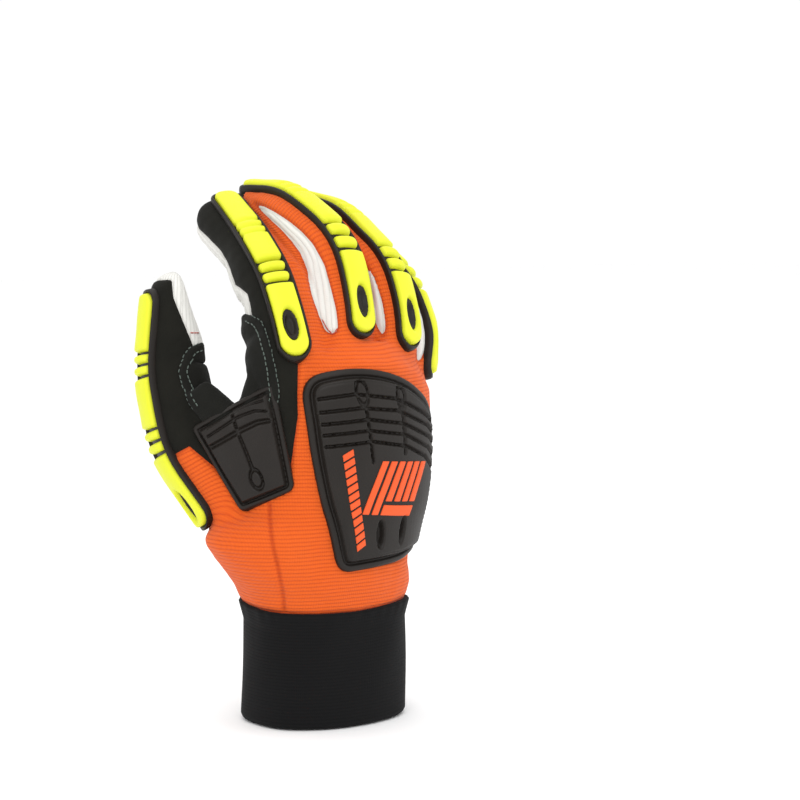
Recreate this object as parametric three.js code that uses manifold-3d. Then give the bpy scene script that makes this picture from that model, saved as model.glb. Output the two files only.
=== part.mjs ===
// Impact-resistant mechanic glove for the right hand, filled out as on a relaxed hand, fingers up.
// Millimetres, +Z up from the cuff's mouth to the fingertips, the back of the hand faces -Y, the thumb is at -X.
// The origin is the middle of the cuff's mouth, where the wrist goes in.
// Cloth is a thin hollow shell, cut along the seams of its panels. Moulded guards lie on it with a small gap.
import * as THREE from "three";
import { mergeVertices } from "three/addons/utils/BufferGeometryUtils.js";
import Module from "manifold-3d";

const wasm = await Module();
wasm.setup();

// Driving sizes
const CLOTH = 1.6; // wall of the sewn shell
const GAP = 0.3; // between neighbouring pieces
const CUFF_HEIGHT = 52;
const CUFF_WALL = 2.8; // two layers of knit, folded at the mouth
const SECTION_POWER = 2.3; // roundness of a digit's or palm's section: 2 is an ellipse, more is squarer
const JOINT_BEND = 24; // length along a digit over which one joint bends
const DEGREE = Math.PI / 180;

// How wide (along X) and deep (along Y) the cuff is at each height
const CUFF_ROWS = [
  { z: 0, halfWidth: 37.0, halfDepth: 28.6 },
  { z: 2.5, halfWidth: 38.0, halfDepth: 29.6 },
  { z: 42, halfWidth: 37.4, halfDepth: 29.2 },
  { z: CUFF_HEIGHT, halfWidth: 39.4, halfDepth: 30.6 },
];

// The palm from the cuff to the webs: section centre, half sizes, arch across the knuckles and drop towards the edges.
// A point of the section moves by arch * x^2 towards the palm and by drop * x^2 towards the cuff.
const PALM_ROWS = [
  { z: 50, x: 0, y: 0, halfWidth: 37.8, halfDepth: 29.0, arch: 0, drop: 0 },
  { z: 58, x: 0.5, y: -0.5, halfWidth: 39.0, halfDepth: 29.3, arch: 0, drop: 0 },
  { z: 72, x: 0.5, y: -2.5, halfWidth: 44.0, halfDepth: 27.5, arch: 0.0015, drop: 0 },
  { z: 94, x: 4, y: -6.5, halfWidth: 45.5, halfDepth: 24.0, arch: 0.0035, drop: 0.001 },
  { z: 116, x: 5.5, y: -11, halfWidth: 47.5, halfDepth: 20.5, arch: 0.0055, drop: 0.003 },
  { z: 136, x: 6.5, y: -15, halfWidth: 47.5, halfDepth: 17.5, arch: 0.007, drop: 0.006 },
  { z: 154, x: 7, y: -16.5, halfWidth: 46.0, halfDepth: 14.5, arch: 0.0075, drop: 0.009 },
  { z: 164, x: 7, y: -16, halfWidth: 41.0, halfDepth: 7.0, arch: 0.0075, drop: 0.011 },
];

// Each digit's middle line starts at root, leans along X and tilts along Y, and bends at three joints in one plane.
// bendToward is the compass direction that it bends to, from +Y towards +X. roll turns its back towards the little
// finger. joints and length are measured from root along the middle line, and start lies inside the palm.
// rootTaper is how much it narrows towards start. seamReach is how far to either side the back's cloth may reach, up to the neighbouring finger.
const DIGIT_ROWS = [
  {
    name: "index", root: [-23.7, -7.8, 152.3], lean: -2.0, tilt: -1.4, bendToward: 6.6, roll: -4, start: -24,
    bends: [-9, 39.1, 23.6, 7.5], joints: [-12, 36.0, 60.2], length: 94,
    rootTaper: 0.45, halfWidth: [13.6, 12.8, 11.2], halfDepth: [12.4, 11.8, 10.2],
    seamReach: [14.8, 12.2],
  },
  {
    name: "middle", root: [0.5, -9.9, 162.8], lean: 1.5, tilt: -2.7, bendToward: -5.3, roll: 11, start: -28,
    bends: [-9, 32.6, 43.0, 15.8], joints: [-12, 38.4, 64.6], length: 100.7,
    rootTaper: 0.45, halfWidth: [13.6, 12.8, 11.2], halfDepth: [12.4, 11.8, 10.2],
    seamReach: [12.2, 12.2],
  },
  {
    name: "ring", root: [22.0, -10.2, 156.8], lean: 3.8, tilt: -2.7, bendToward: -6.4, roll: 20, start: -26,
    bends: [-9, 32.8, 38.2, 12.9], joints: [-12, 35.3, 63.2], length: 98.5,
    rootTaper: 0.45, halfWidth: [13.0, 12.3, 10.8], halfDepth: [12.0, 11.4, 9.8],
    seamReach: [12.2, 11],
  },
  {
    name: "little", root: [37.6, -1.1, 145.2], lean: 5.0, tilt: -4.0, bendToward: -6.1, roll: 38, start: -24,
    bends: [-9, 26.6, 31.5, 10.0], joints: [-12, 39.8, 57.4], length: 83.4,
    rootTaper: 0.45, halfWidth: [12.0, 11.3, 9.8], halfDepth: [11.2, 10.6, 9.2],
    seamReach: [10, 13.4],
  },
  {
    name: "thumb", root: [-36.3, 11.6, 92.9], lean: -26.6, tilt: 22.9, bendToward: 115, roll: 13.5, start: -26,
    bends: [-4.6, 0, 24.2, 16.2], joints: [-12, 34.1, 64.4], length: 104,
    rootTaper: 0.15, halfWidth: [17.0, 13.8, 10.2], halfDepth: [15.0, 12.2, 10.0],
  },
];

// The web between thumb and hand, from inside the palm to inside the thumb: upper edge, lower edge, half thickness
const WEB_ROWS = [
  { top: [-24, -11, 148], bottom: [-22, -9, 88], half: 9 },
  { top: [-36, -3, 138], bottom: [-30, -3, 84], half: 9.5 },
  { top: [-46, 6, 135], bottom: [-35, 3, 84], half: 10 },
  { top: [-56, 15, 138], bottom: [-38, 9, 90], half: 9 },
];

// Small vector and shape helpers
const vec = (x, y, z) => new THREE.Vector3(x, y, z);
const mix = (a, b, t) => a + (b - a) * t;
const smoothStep = (t) => THREE.MathUtils.smoothstep(t, 0, 1);
const steps = (from, to, count) =>
  Array.from({ length: count + 1 }, (_, i) => mix(from, to, i / count));

// One coordinate pair of a superellipse at an angle, for half sizes 1 and 1
function superPoint(angle) {
  const bend = (v) => Math.sign(v) * Math.abs(v) ** (2 / SECTION_POWER);
  return [bend(Math.cos(angle)), bend(Math.sin(angle))];
}

// Closed skin over a list of rings with equal numbers of points, ends closed by fans, faces pointing out
function loft(rings) {
  const count = rings[0].length;
  const points = rings.flat();
  const faces = [];
  for (let i = 0; i + 1 < rings.length; i++) {
    for (let j = 0; j < count; j++) {
      const a = i * count + j;
      const b = i * count + ((j + 1) % count);
      faces.push(a, b, a + count, b, b + count, a + count);
    }
  }
  for (const end of [0, rings.length - 1]) {
    const centre = rings[end].reduce((sum, p) => sum.add(p), vec(0, 0, 0)).divideScalar(count);
    const hub = points.push(centre) - 1;
    for (let j = 0; j < count; j++) {
      const a = end * count + j;
      const b = end * count + ((j + 1) % count);
      faces.push(...(end ? [a, b, hub] : [b, a, hub]));
    }
  }
  const geometry = new THREE.BufferGeometry().setFromPoints(points).setIndex(faces);
  return signedVolume(geometry) < 0 ? turnedInsideOut(geometry) : geometry;
}

function signedVolume(geometry) {
  const p = geometry.attributes.position;
  const at = (i) => new THREE.Vector3().fromBufferAttribute(p, geometry.index.getX(i));
  let sum = 0;
  for (let i = 0; i < geometry.index.count; i += 3) sum += at(i).dot(at(i + 1).cross(at(i + 2)));
  return sum / 6;
}

function turnedInsideOut(geometry) {
  const index = geometry.index.array;
  for (let i = 0; i < index.length; i += 3) [index[i], index[i + 1]] = [index[i + 1], index[i]];
  return geometry;
}

// A closed three.js geometry as a solid that can be cut and joined
function solid(geometry) {
  const bare = geometry.clone().deleteAttribute("normal").deleteAttribute("uv");
  const merged = mergeVertices(bare, 1e-4);
  return new wasm.Manifold(
    new wasm.Mesh({
      numProp: 3,
      vertProperties: new Float32Array(merged.attributes.position.array),
      triVerts: new Uint32Array(merged.index.array),
    }),
  );
}

const joined = (solids) => solids.reduce((a, b) => a.add(b));

// A value that runs through root, middle and tip values of a digit
function along(values, share) {
  const [root, middle, tip] = values;
  return share < 0.5 ? mix(root, middle, share * 2) : mix(middle, tip, share * 2 - 1);
}

// Middle point and directions of a digit at a distance from its root: along it, out of its back and across it
function makeDigit(row) {
  const up = vec(Math.tan(row.lean * DEGREE), Math.tan(row.tilt * DEGREE), 1).normalize();
  const toward = vec(Math.sin(row.bendToward * DEGREE), Math.cos(row.bendToward * DEGREE), 0);
  toward.addScaledVector(up, -toward.dot(up)).normalize();
  const across = toward.clone().cross(up);
  const bendAt = (s) =>
    DEGREE *
    row.joints.reduce(
      (sum, joint, i) => sum + row.bends[i + 1] * smoothStep((s - joint) / JOINT_BEND + 0.5),
      row.bends[0],
    );
  const tangentAt = (s) =>
    up.clone().multiplyScalar(Math.cos(bendAt(s))).addScaledVector(toward, Math.sin(bendAt(s)));
  function frame(s) {
    const middle = vec(...row.root);
    const count = 60;
    for (const step of steps(0.5, count - 0.5, count - 1)) {
      middle.addScaledVector(tangentAt((s * step) / count), s / count);
    }
    const tangent = tangentAt(s);
    const back = across.clone().cross(tangent);
    const roll = row.roll * DEGREE;
    const out = back.clone().multiplyScalar(Math.cos(roll)).addScaledVector(across, Math.sin(roll));
    const side = across.clone().multiplyScalar(Math.cos(roll)).addScaledVector(back, -Math.sin(roll));
    return { middle, tangent, out, side };
  }
  return { ...row, frame };
}

const DIGITS = DIGIT_ROWS.map(makeDigit);
const digitNamed = (name) => DIGITS.find((digit) => digit.name === name);

// Half width and half depth of a digit at a distance from its root, rounded off at the tip
function digitSize(digit, s, grow = 0) {
  const share = THREE.MathUtils.clamp(s / digit.length, 0, 1);
  const domeLength = digit.halfDepth[2] + 1;
  const past = THREE.MathUtils.clamp((s - digit.length) / domeLength + 1, 0, 0.999);
  const inside = s < 0 ? 1 - digit.rootTaper * (s / digit.start) : 1;
  const round = Math.sqrt(1 - past ** 2.4) * inside;
  return {
    halfWidth: along(digit.halfWidth, share) * round + grow,
    halfDepth: along(digit.halfDepth, share) * round + grow,
  };
}

// A point at (across, out of the back) from a digit's middle line
const digitPoint = (frame, w, n) =>
  frame.middle.clone().addScaledVector(frame.side, w).addScaledVector(frame.out, n);

const DIGIT_SIDES = 12;
const HOLLOW_SIDES = 8; // the hollow inside needs fewer facets than the skin
const DIGIT_STATIONS = [-10, 6, 20, 31, 42, 54, 65, 77];
const TIP_SHARES = [0.2, 0.66, 0.93];

// Distances along a digit at which its skin has a ring
function digitStations(digit) {
  const straight = digit.length - digit.halfDepth[2] - 1;
  const round = digit.length - straight;
  return [
    digit.start,
    ...DIGIT_STATIONS.filter((s) => s > digit.start + 4 && s < straight - 3),
    ...TIP_SHARES.map((share) => straight + share * round),
  ];
}

// The digit's body, grown outwards or, where grow is negative, shrunk to the hollow inside the cloth
function digitBody(digit, grow) {
  const rings = digitStations(digit).map((s) => {
    const reach = s > digit.length - 2 ? grow * 0.8 : 0;
    const frame = digit.frame(s + reach);
    const { halfWidth, halfDepth } = digitSize(digit, s);
    const sides = grow < 0 ? HOLLOW_SIDES : DIGIT_SIDES;
    return steps(0, 2 * Math.PI, sides).slice(1).map((angle) => {
      const [w, n] = superPoint(angle);
      return digitPoint(
        frame,
        w * Math.max(halfWidth + grow, 0.6),
        n * Math.max(halfDepth + grow, 0.6),
      );
    });
  });
  return solid(loft(rings));
}

// The palm's row at any height, blended between the rows of the table
function palmRow(z) {
  const last = PALM_ROWS.length - 1;
  const i = THREE.MathUtils.clamp(PALM_ROWS.findIndex((row) => row.z > z) - 1, 0, last - 1);
  const [low, high] = z > PALM_ROWS[last].z ? PALM_ROWS.slice(-2) : [PALM_ROWS[i], PALM_ROWS[i + 1]];
  const t = THREE.MathUtils.clamp((z - low.z) / (high.z - low.z), 0, 1);
  return Object.fromEntries(Object.keys(low).map((key) => [key, mix(low[key], high[key], t)]));
}

// A palm point from its place in the unbent section of one row
const palmPoint = (row, x, y) =>
  vec(row.x + x, row.y + y + row.arch * x * x, row.z - row.drop * x * x);

const PALM_SIDES = 20;
const PALM_HOLLOW_SIDES = 16;

function palmBody(grow) {
  const last = PALM_ROWS[PALM_ROWS.length - 1];
  const rows = grow < 0 ? PALM_ROWS.slice(0, -1) : PALM_ROWS;
  const bottomGrow = 1; // the hollow runs down out of the shell's lower edge
  const rings = rows.map((row, i) =>
    steps(0, 2 * Math.PI, grow < 0 ? PALM_HOLLOW_SIDES : PALM_SIDES).slice(1).map((angle) => {
      const [x, y] = superPoint(angle);
      const lift = row === last ? grow * 0.8 : 0;
      const sink = i === 0 && grow < 0 ? bottomGrow : 0;
      const shifted = { ...row, z: row.z + lift - sink };
      return palmPoint(shifted, x * (row.halfWidth + grow), y * (row.halfDepth + grow));
    }),
  );
  return solid(loft(rings));
}

function webBody(grow) {
  const sideways = vec(0.6, 0.8, 0);
  const rings = WEB_ROWS.map((row) => {
    const [top, bottom] = [vec(...row.top), vec(...row.bottom)];
    const lift = grow / top.distanceTo(bottom);
    return steps(0, 2 * Math.PI, 12).slice(1).map((angle) => {
      const [across, up] = superPoint(angle);
      const middle = bottom.clone().lerp(top, (1 + up * (1 + 2 * lift)) / 2);
      return middle.addScaledVector(sideways, across * (row.half + grow));
    });
  });
  return solid(loft(rings));
}

const body = (grow) =>
  joined([palmBody(grow), webBody(grow), ...DIGITS.map((digit) => digitBody(digit, grow))]);

// Everything above a height
function aboveHeight(z) {
  const size = 400;
  return solid(new THREE.BoxGeometry(size, size, size).translate(0, 0, z + size / 2));
}

// A sweep of an outline of [across, out] pairs along a digit
function digitSweep(digit, stations, outlineAt) {
  return solid(
    loft(
      stations.map((s) => {
        const frame = digit.frame(s);
        return outlineAt(s).map(([w, n]) => digitPoint(frame, w, n));
      }),
    ),
  );
}

// Seams of the panels
const SEAM_OVER_MIDDLE = 2; // how far the seam lies on the back's side of a finger's middle line
const TIP_WRAP = 13; // how far the back's cloth wraps over a fingertip towards the palm

// The space on the back's side of a finger's side seams
function fingerBackZone(digit, shrink) {
  const { start, length } = digit;
  const stations = [start, ...DIGIT_STATIONS.filter((s) => s < length - 18), length - 14, length - 5, length + 8];
  return digitSweep(digit, stations, (s) => {
    const wrap = TIP_WRAP * smoothStep((s - (length - 14)) / 10);
    const low = SEAM_OVER_MIDDLE - wrap + shrink;
    const [left, right] = digit.seamReach.map((reach) => reach - shrink);
    return [[-left, low], [right, low], [right, 24], [-left, 24]];
  });
}

const PALM_SEAM = 4; // how far the side seam of the palm lies on the palm's side of the section's middle

// The space on the back's side of the palm's side seam
function palmBackZone(shrink) {
  const heights = [40, 62, 84, 106, 128, 148, 166];
  const rings = heights.map((z) => {
    const row = palmRow(z);
    const seam = steps(-72, 60, 8).map((x) => palmPoint({ ...row, z, drop: 0 }, x, PALM_SEAM - shrink));
    const behind = [seam[seam.length - 1], seam[0]].map((p) => vec(p.x, -90, z));
    return [...seam, ...behind];
  });
  return solid(loft(rings));
}

// The back cloth also wraps round the thumb's outer side, down to the cuff
function thumbOuterZone(shrink) {
  const digit = digitNamed("thumb");
  const low = -3 + shrink;
  return digitSweep(digit, [-60, -30, 0, 20, 40, 60, 80, 100, digit.length + 8], () => [
    [-34, low], [34, low], [34, 40], [-34, 40],
  ]);
}

// The dark side panel: a wedge down the index finger's thumb side, one down the thumb's inner side, and the web.
// upper and lower are angles from the digit's side towards its back.
const SIDE_WEDGES = [
  { digit: "index", side: -1, from: -16, upper: 47, lower: -24 },
  { digit: "thumb", side: 1, from: 32, upper: 50, lower: -14 },
];

// Outlines in an upright plane turned with the thumb's side towards the viewer: across, height and corner rounding
const VIEW_TURN = -35;
const WEB_OUTLINE = [
  { x: -11, z: 158, round: 4 },
  { x: -10, z: 134, round: 8 },
  { x: -15, z: 109, round: 5 },
  { x: -28, z: 100, round: 5 },
  { x: -58, z: 121, round: 4 },
  { x: -68, z: 134, round: 3 },
  { x: -64, z: 150, round: 3 },
  { x: -40, z: 158, round: 3 },
];
const WEB_DEPTH = -17; // how far back the web part of the panel reaches

function sidePanelZone(grow) {
  const wedges = SIDE_WEDGES.map(({ digit: name, side, from, upper, lower }) => {
    const digit = digitNamed(name);
    const stations = DIGIT_STATIONS.filter((s) => s > from && s < digit.length - 6);
    const far = 30;
    const ray = (degrees) => [side * far * Math.cos(degrees * DEGREE), far * Math.sin(degrees * DEGREE)];
    const outline = [[-side * grow, 0], ray(upper + grow * 2), ray((upper + lower) / 2), ray(lower - grow * 2)];
    return digitSweep(digit, [from - grow, ...stations, digit.length + 8], () => outline);
  });
  const middle = vec(-38, 0, 130);
  const spread = WEB_OUTLINE.map((corner) => ({
    ...corner,
    x: corner.x + Math.sign(corner.x - middle.x) * grow,
    z: corner.z + Math.sign(corner.z - middle.z) * grow,
  }));
  return joined([...wedges, prism(roundedShape(spread), VIEW_TURN, WEB_DEPTH + grow)]);
}

// The sewn shell and its three panels
const outer = body(0);
const shell = outer.subtract(body(-CLOTH)).intersect(aboveHeight(CUFF_HEIGHT + GAP));
const backZone = (shrink) =>
  joined([
    palmBackZone(shrink),
    thumbOuterZone(shrink),
    ...DIGITS.slice(0, 4).map((digit) => fingerBackZone(digit, shrink)),
  ]);
const sideZone = sidePanelZone(0);
const sideZoneGrown = sidePanelZone(GAP);
const outerGrown = body(GAP);

const backPanel = shell.intersect(backZone(GAP / 2)).subtract(sideZoneGrown);
const palmPanel = shell.subtract(backZone(-GAP / 2)).subtract(sideZoneGrown);
const sidePanel = shell.intersect(sideZone);

// The cuff, a folded tube of knit, open at both ends
function cuffSkin(shrink, reach) {
  const rings = CUFF_ROWS.map((row, i) => {
    const end = i === 0 ? -reach : i === CUFF_ROWS.length - 1 ? reach : 0;
    return steps(0, 2 * Math.PI, 24).slice(1).map((angle) => {
      const [x, y] = superPoint(angle);
      return vec(x * (row.halfWidth - shrink), y * (row.halfDepth - shrink), row.z + end);
    });
  });
  return solid(loft(rings));
}

const cuff = cuffSkin(0, 0).subtract(cuffSkin(CUFF_WALL, 1));

// Moulded finger guards: a dark base strip with a bright raised bar on it, ribbed over the two outer joints.
// Both follow the facets of the digit under them: the section's points at these angles from its side.
const BASE_ANGLES = [53, 62, 90, 118, 127];
const BASE_TOP_ANGLES = [53, 67, 90, 113, 127];
const BAR_ANGLES = [67, 90, 113];
const BASE_HEIGHT = 1.8;
const BAR_HEIGHT = 4.4;
const GROOVE_FLOOR = BASE_HEIGHT + GAP + 0.5;
const RIB_PITCH = 4.4;
const GROOVE_HALF = 1.0;
const BASE_END = 2.9; // how far the base strip starts below a digit's root
const TIP_INSET = 3.5; // how far it ends before the digit's end
const BORDER = 2.4; // how far it shows beyond the bar's ends
const EYELET = { distance: 13, halfLength: 7, halfWidth: 3.2 };

// Points over the back of a digit, at section angles, raised by a height
function backPoints(digit, s, angles, narrow, raise) {
  const { halfWidth, halfDepth } = digitSize(digit, Math.min(s, digit.length - 5));
  return angles.map((angle, i) => {
    const [w, n] = superPoint((90 + (angle - 90) * narrow) * DEGREE);
    const height = Array.isArray(raise) ? raise[i] : raise;
    return [w * (halfWidth + height), n * (halfDepth + height)];
  });
}

// Share of its full width that a strip has near its rounded ends
function endNarrowing(s, from, to) {
  const round = 8;
  const inward = Math.min((s - from) / round, (to - s) / round, 1);
  return Math.sqrt(Math.max(1 - (1 - inward) ** 2, 0.06));
}

function guardStrip(digit, angles, topAngles, from, to, stations, low, topAt) {
  return digitSweep(digit, stations, (s) => {
    const narrow = endNarrowing(s, from, to);
    const bottom = backPoints(digit, s, angles, narrow, low);
    const top = backPoints(digit, s, topAngles, narrow, topAt(s));
    return [...top, ...bottom.reverse()];
  });
}

function guardBase(digit, spread = 0) {
  const from = -BASE_END - spread;
  const to = digit.length - TIP_INSET + spread;
  const inner = digitStations(digit).filter((s) => s > from + 7 && s < to - 4);
  const stations = [from, from + 1.2, from + 4, ...inner, to - 3.2, to - 1, to];
  const widened = (angles) => angles.map((angle) => 90 + (angle - 90) * (1 + spread * 0.1));
  const top = BASE_HEIGHT + spread;
  const strip = guardStrip(
    digit, widened(BASE_ANGLES), widened(BASE_TOP_ANGLES), from, to, stations, GAP * 1.5,
    () => [top - 0.5, top, top, top, top - 0.5],
  );
  return spread ? strip : strip.subtract(outerGrown);
}

// Distances along the digit of the grooves between the bars: three round each of the two outer joints
const grooveCentres = (digit) =>
  digit.joints.slice(1).flatMap((joint) => [-1, 0, 1].map((k) => joint + k * RIB_PITCH));

function guardBar(digit) {
  const from = -BASE_END + BORDER;
  const to = digit.length - TIP_INSET - BORDER;
  const grooves = grooveCentres(digit);
  const grooveEdges = grooves.flatMap((g) => [g - GROOVE_HALF, g, g + GROOVE_HALF]);
  const plain = digitStations(digit).filter(
    (s) => s > from + 6 && s < to - 4 && grooves.every((g) => Math.abs(s - g) > 3),
  );
  const stations = [from, from + 1.2, from + 4, ...plain, ...grooveEdges, to - 3.2, to - 1, to];
  stations.sort((a, b) => a - b);
  const low = BASE_HEIGHT + GAP;
  const bar = guardStrip(digit, BAR_ANGLES, BAR_ANGLES, from, to, stations, low, (s) => {
    const high = grooves.some((g) => Math.abs(s - g) < 0.01) ? GROOVE_FLOOR : BAR_HEIGHT;
    const edge = mix(low, high, 0.6);
    return [edge, high, edge];
  });
  return bar.subtract(eyelet(digit));
}

// The oval opening near the knuckle end of a bar
function eyelet(digit) {
  const frame = digit.frame(EYELET.distance);
  const { halfDepth } = digitSize(digit, EYELET.distance);
  const plug = new THREE.CylinderGeometry(1, 1, 16, 12)
    .scale(EYELET.halfWidth, 1, EYELET.halfLength)
    .applyMatrix4(new THREE.Matrix4().makeBasis(frame.side, frame.out, frame.tangent))
    .translate(...digitPoint(frame, 0, halfDepth).toArray());
  return solid(signedVolume(plug) < 0 ? turnedInsideOut(plug) : plug);
}

// Pads moulded to the shell: what lies between two growths of the body, inside an outline
// An outline is a list of corners [x, z] with a rounding radius each
function roundedShape(corners) {
  const shape = new THREE.Shape();
  const at = (i) => corners[(i + corners.length) % corners.length];
  corners.forEach((corner, i) => {
    const here = new THREE.Vector2(corner.x, corner.z);
    const toward = (other) => new THREE.Vector2(other.x, other.z).sub(here).setLength(corner.round).add(here);
    const enter = toward(at(i - 1));
    const leave = toward(at(i + 1));
    if (i === 0) shape.moveTo(enter.x, enter.y);
    else shape.lineTo(enter.x, enter.y);
    shape.quadraticCurveTo(here.x, here.y, leave.x, leave.y);
  });
  shape.closePath();
  return shape;
}

// A prism of a shape drawn in an upright plane turned about Z, from a depth behind the origin to the front
function prism(shape, turn, depth, reach = 90) {
  const geometry = new THREE.ExtrudeGeometry(shape, { depth: reach, bevelEnabled: false, curveSegments: 2 });
  geometry.rotateX(Math.PI / 2).rotateZ(turn * DEGREE);
  geometry.translate(-Math.sin(turn * DEGREE) * depth, Math.cos(turn * DEGREE) * depth, 0);
  return solid(geometry);
}

// The same outline, moved towards its middle
function inset(corners, distance) {
  const x = corners.reduce((sum, corner) => sum + corner.x, 0) / corners.length;
  const z = corners.reduce((sum, corner) => sum + corner.z, 0) / corners.length;
  return corners.map((corner) => {
    const away = Math.hypot(corner.x - x, corner.z - z);
    const share = 1 - distance / away;
    const round = Math.max(corner.round - distance * 0.6, 1);
    return { x: mix(x, corner.x, share), z: mix(z, corner.z, share), round };
  });
}

// The knuckle pad: a flat rim all round and a raised field, with two long grooves through to the rim's level
const PAD_RIM = 2.0;
const PAD_FIELD = 4.4;
const PAD_BORDER = 3.6;
const PAD_OUTLINE = [
  { x: -26, z: 151, round: 7 },
  { x: -4, z: 155.5, round: 10 },
  { x: 20, z: 151, round: 10 },
  { x: 44, z: 137, round: 8 },
  { x: 46, z: 110, round: 12 },
  { x: 37, z: 72, round: 5 },
  { x: 22, z: 68.5, round: 6 },
  { x: -13, z: 67, round: 6 },
  { x: -22, z: 112, round: 14 },
];
const PAD_GROOVES = [
  { width: 1.5, from: { x: -4, z: 146 }, to: { x: 11, z: 78 } },
  { width: 1.5, from: { x: 19, z: 142 }, to: { x: 24, z: 78 } },
];

function groovePrism({ width, from, to }, turn, depth) {
  const shape = new THREE.Shape();
  shape.moveTo(from.x - width / 2, from.z);
  shape.lineTo(to.x - width / 2, to.z);
  shape.lineTo(to.x + width / 2, to.z);
  shape.lineTo(from.x + width / 2, from.z);
  shape.closePath();
  return prism(shape, turn, depth);
}

// A moulded pad: rim and raised field both follow the glove under them
function pad(corners, turn, depth, rim, field, border, grooves) {
  const flange = body(rim).intersect(prism(roundedShape(corners), turn, depth));
  const raised = grooves.reduce(
    (shape, groove) => shape.subtract(groovePrism(groove, turn, depth)),
    prism(roundedShape(inset(corners, border)), turn, depth),
  );
  return flange.add(body(field).intersect(raised)).subtract(outerGrown);
}

const knucklePad = () => pad(PAD_OUTLINE, 0, -5, PAD_RIM, PAD_FIELD, PAD_BORDER, PAD_GROOVES);

// The guard over the root of the thumb
const CROTCH_OUTLINE = [
  { x: -51, z: 129.5, round: 3 },
  { x: -21, z: 146, round: 3 },
  { x: -11, z: 105, round: 3 },
  { x: -31.5, z: 95, round: 3 },
];
const CROTCH_DEPTH = -24;
const CROTCH_RIM = 1.8;
const CROTCH_FIELD = 4.2;
const CROTCH_GROOVES = [{ width: 1.3, from: { x: -36, z: 134 }, to: { x: -26, z: 108 } }];
const crotchGuard = () =>
  pad(CROTCH_OUTLINE, VIEW_TURN, CROTCH_DEPTH, CROTCH_RIM, CROTCH_FIELD, 3, CROTCH_GROOVES);

// The saddle patch that doubles the cloth over the crotch of the thumb
const PATCH_HEIGHT = 1.3;
const PATCH_DEPTH = -8;
const PATCH_OUTLINE = [
  { x: -49, z: 163, round: 3 },
  { x: -57, z: 160, round: 3 },
  { x: -61, z: 150, round: 4 },
  { x: -56, z: 138, round: 4 },
  { x: -47, z: 127, round: 4 },
  { x: -26, z: 127, round: 4 },
  { x: -18, z: 140, round: 4 },
  { x: -21, z: 158, round: 6 },
  { x: -26, z: 173, round: 4 },
  { x: -37, z: 175, round: 4 },
  { x: -42, z: 160, round: 3 },
];

function crotchPatch() {
  const cover = prism(roundedShape(PATCH_OUTLINE), VIEW_TURN, PATCH_DEPTH, 60);
  const underGuard = prism(roundedShape(inset(CROTCH_OUTLINE, -GAP * 2)), VIEW_TURN, CROTCH_DEPTH + 1);
  return body(PATCH_HEIGHT)
    .intersect(cover)
    .subtract(outerGrown)
    .subtract(underGuard)
    .subtract(guardBase(digitNamed("index"), 1));
}

const MATERIALS = {
  orangeKnit: { color: 0xf2661f, roughness: 0.85, metalness: 0 },
  cordedCanvas: { color: 0xdcdad2, roughness: 0.95, metalness: 0 },
  darkSuede: { color: 0x23221f, roughness: 0.8, metalness: 0 },
  darkKnit: { color: 0x17181a, roughness: 0.95, metalness: 0 },
  darkRubber: { color: 0x2c2a27, roughness: 0.55, metalness: 0 },
  limeRubber: { color: 0xe6f53a, roughness: 0.5, metalness: 0 },
};

const glove = new THREE.Group();

// Adds a piece without the crumbs that a seam may leave at its ends
function addPiece(name, made, material) {
  const bodies = made.decompose().sort((a, b) => b.volume() - a.volume());
  const mesh = bodies[0].getMesh();
  const positions = new Float32Array(mesh.numVert * 3);
  for (let i = 0; i < mesh.numVert; i++) {
    positions.set(mesh.vertProperties.subarray(i * mesh.numProp, i * mesh.numProp + 3), i * 3);
  }
  const geometry = new THREE.BufferGeometry()
    .setAttribute("position", new THREE.BufferAttribute(positions, 3))
    .setIndex(new THREE.BufferAttribute(new Uint32Array(mesh.triVerts), 1));
  geometry.computeVertexNormals();
  const piece = new THREE.Mesh(geometry, new THREE.MeshStandardMaterial(MATERIALS[material]));
  piece.name = name;
  glove.add(piece);
}

addPiece("back_panel", backPanel, "orangeKnit");
addPiece("palm_panel", palmPanel, "cordedCanvas");
addPiece("side_panel", sidePanel, "darkSuede");
addPiece("knit_cuff", cuff, "darkKnit");
addPiece("knuckle_pad", knucklePad(), "darkRubber");
addPiece("crotch_guard", crotchGuard(), "darkRubber");
addPiece("crotch_patch", crotchPatch(), "darkSuede");
for (const digit of DIGITS) {
  addPiece(digit.name + "_guard_base", guardBase(digit), "darkRubber");
  addPiece(digit.name + "_guard_bar", guardBar(digit), "limeRubber");
}

export default glove;
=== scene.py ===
# %% [markdown]
# # An impact-resistant work glove for the right hand
#
# The glove is sewn from four cloths and carries moulded rubber guards. It keeps the shape of a relaxed hand
# and stands on its cuff. Lengths are in millimetres while a shape is worked out and become metres in the
# mesh. +Z runs to the fingertips, the back of the hand faces -Y and the thumb is at -X.

import bpy
import numpy as np
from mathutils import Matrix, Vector
from mathutils.bvhtree import BVHTree


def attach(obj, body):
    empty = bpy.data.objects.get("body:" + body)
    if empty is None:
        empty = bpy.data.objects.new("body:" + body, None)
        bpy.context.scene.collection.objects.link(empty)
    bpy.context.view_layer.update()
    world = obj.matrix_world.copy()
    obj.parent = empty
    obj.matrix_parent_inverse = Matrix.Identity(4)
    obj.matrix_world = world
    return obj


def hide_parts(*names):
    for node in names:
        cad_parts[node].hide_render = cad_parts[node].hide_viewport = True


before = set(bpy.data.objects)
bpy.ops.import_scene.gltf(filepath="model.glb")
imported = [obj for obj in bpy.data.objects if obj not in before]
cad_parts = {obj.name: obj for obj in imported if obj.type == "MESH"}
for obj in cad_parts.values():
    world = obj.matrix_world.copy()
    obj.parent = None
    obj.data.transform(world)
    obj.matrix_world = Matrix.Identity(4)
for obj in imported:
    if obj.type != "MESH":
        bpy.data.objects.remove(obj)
bpy.context.view_layer.update()
MM = 0.001
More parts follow.
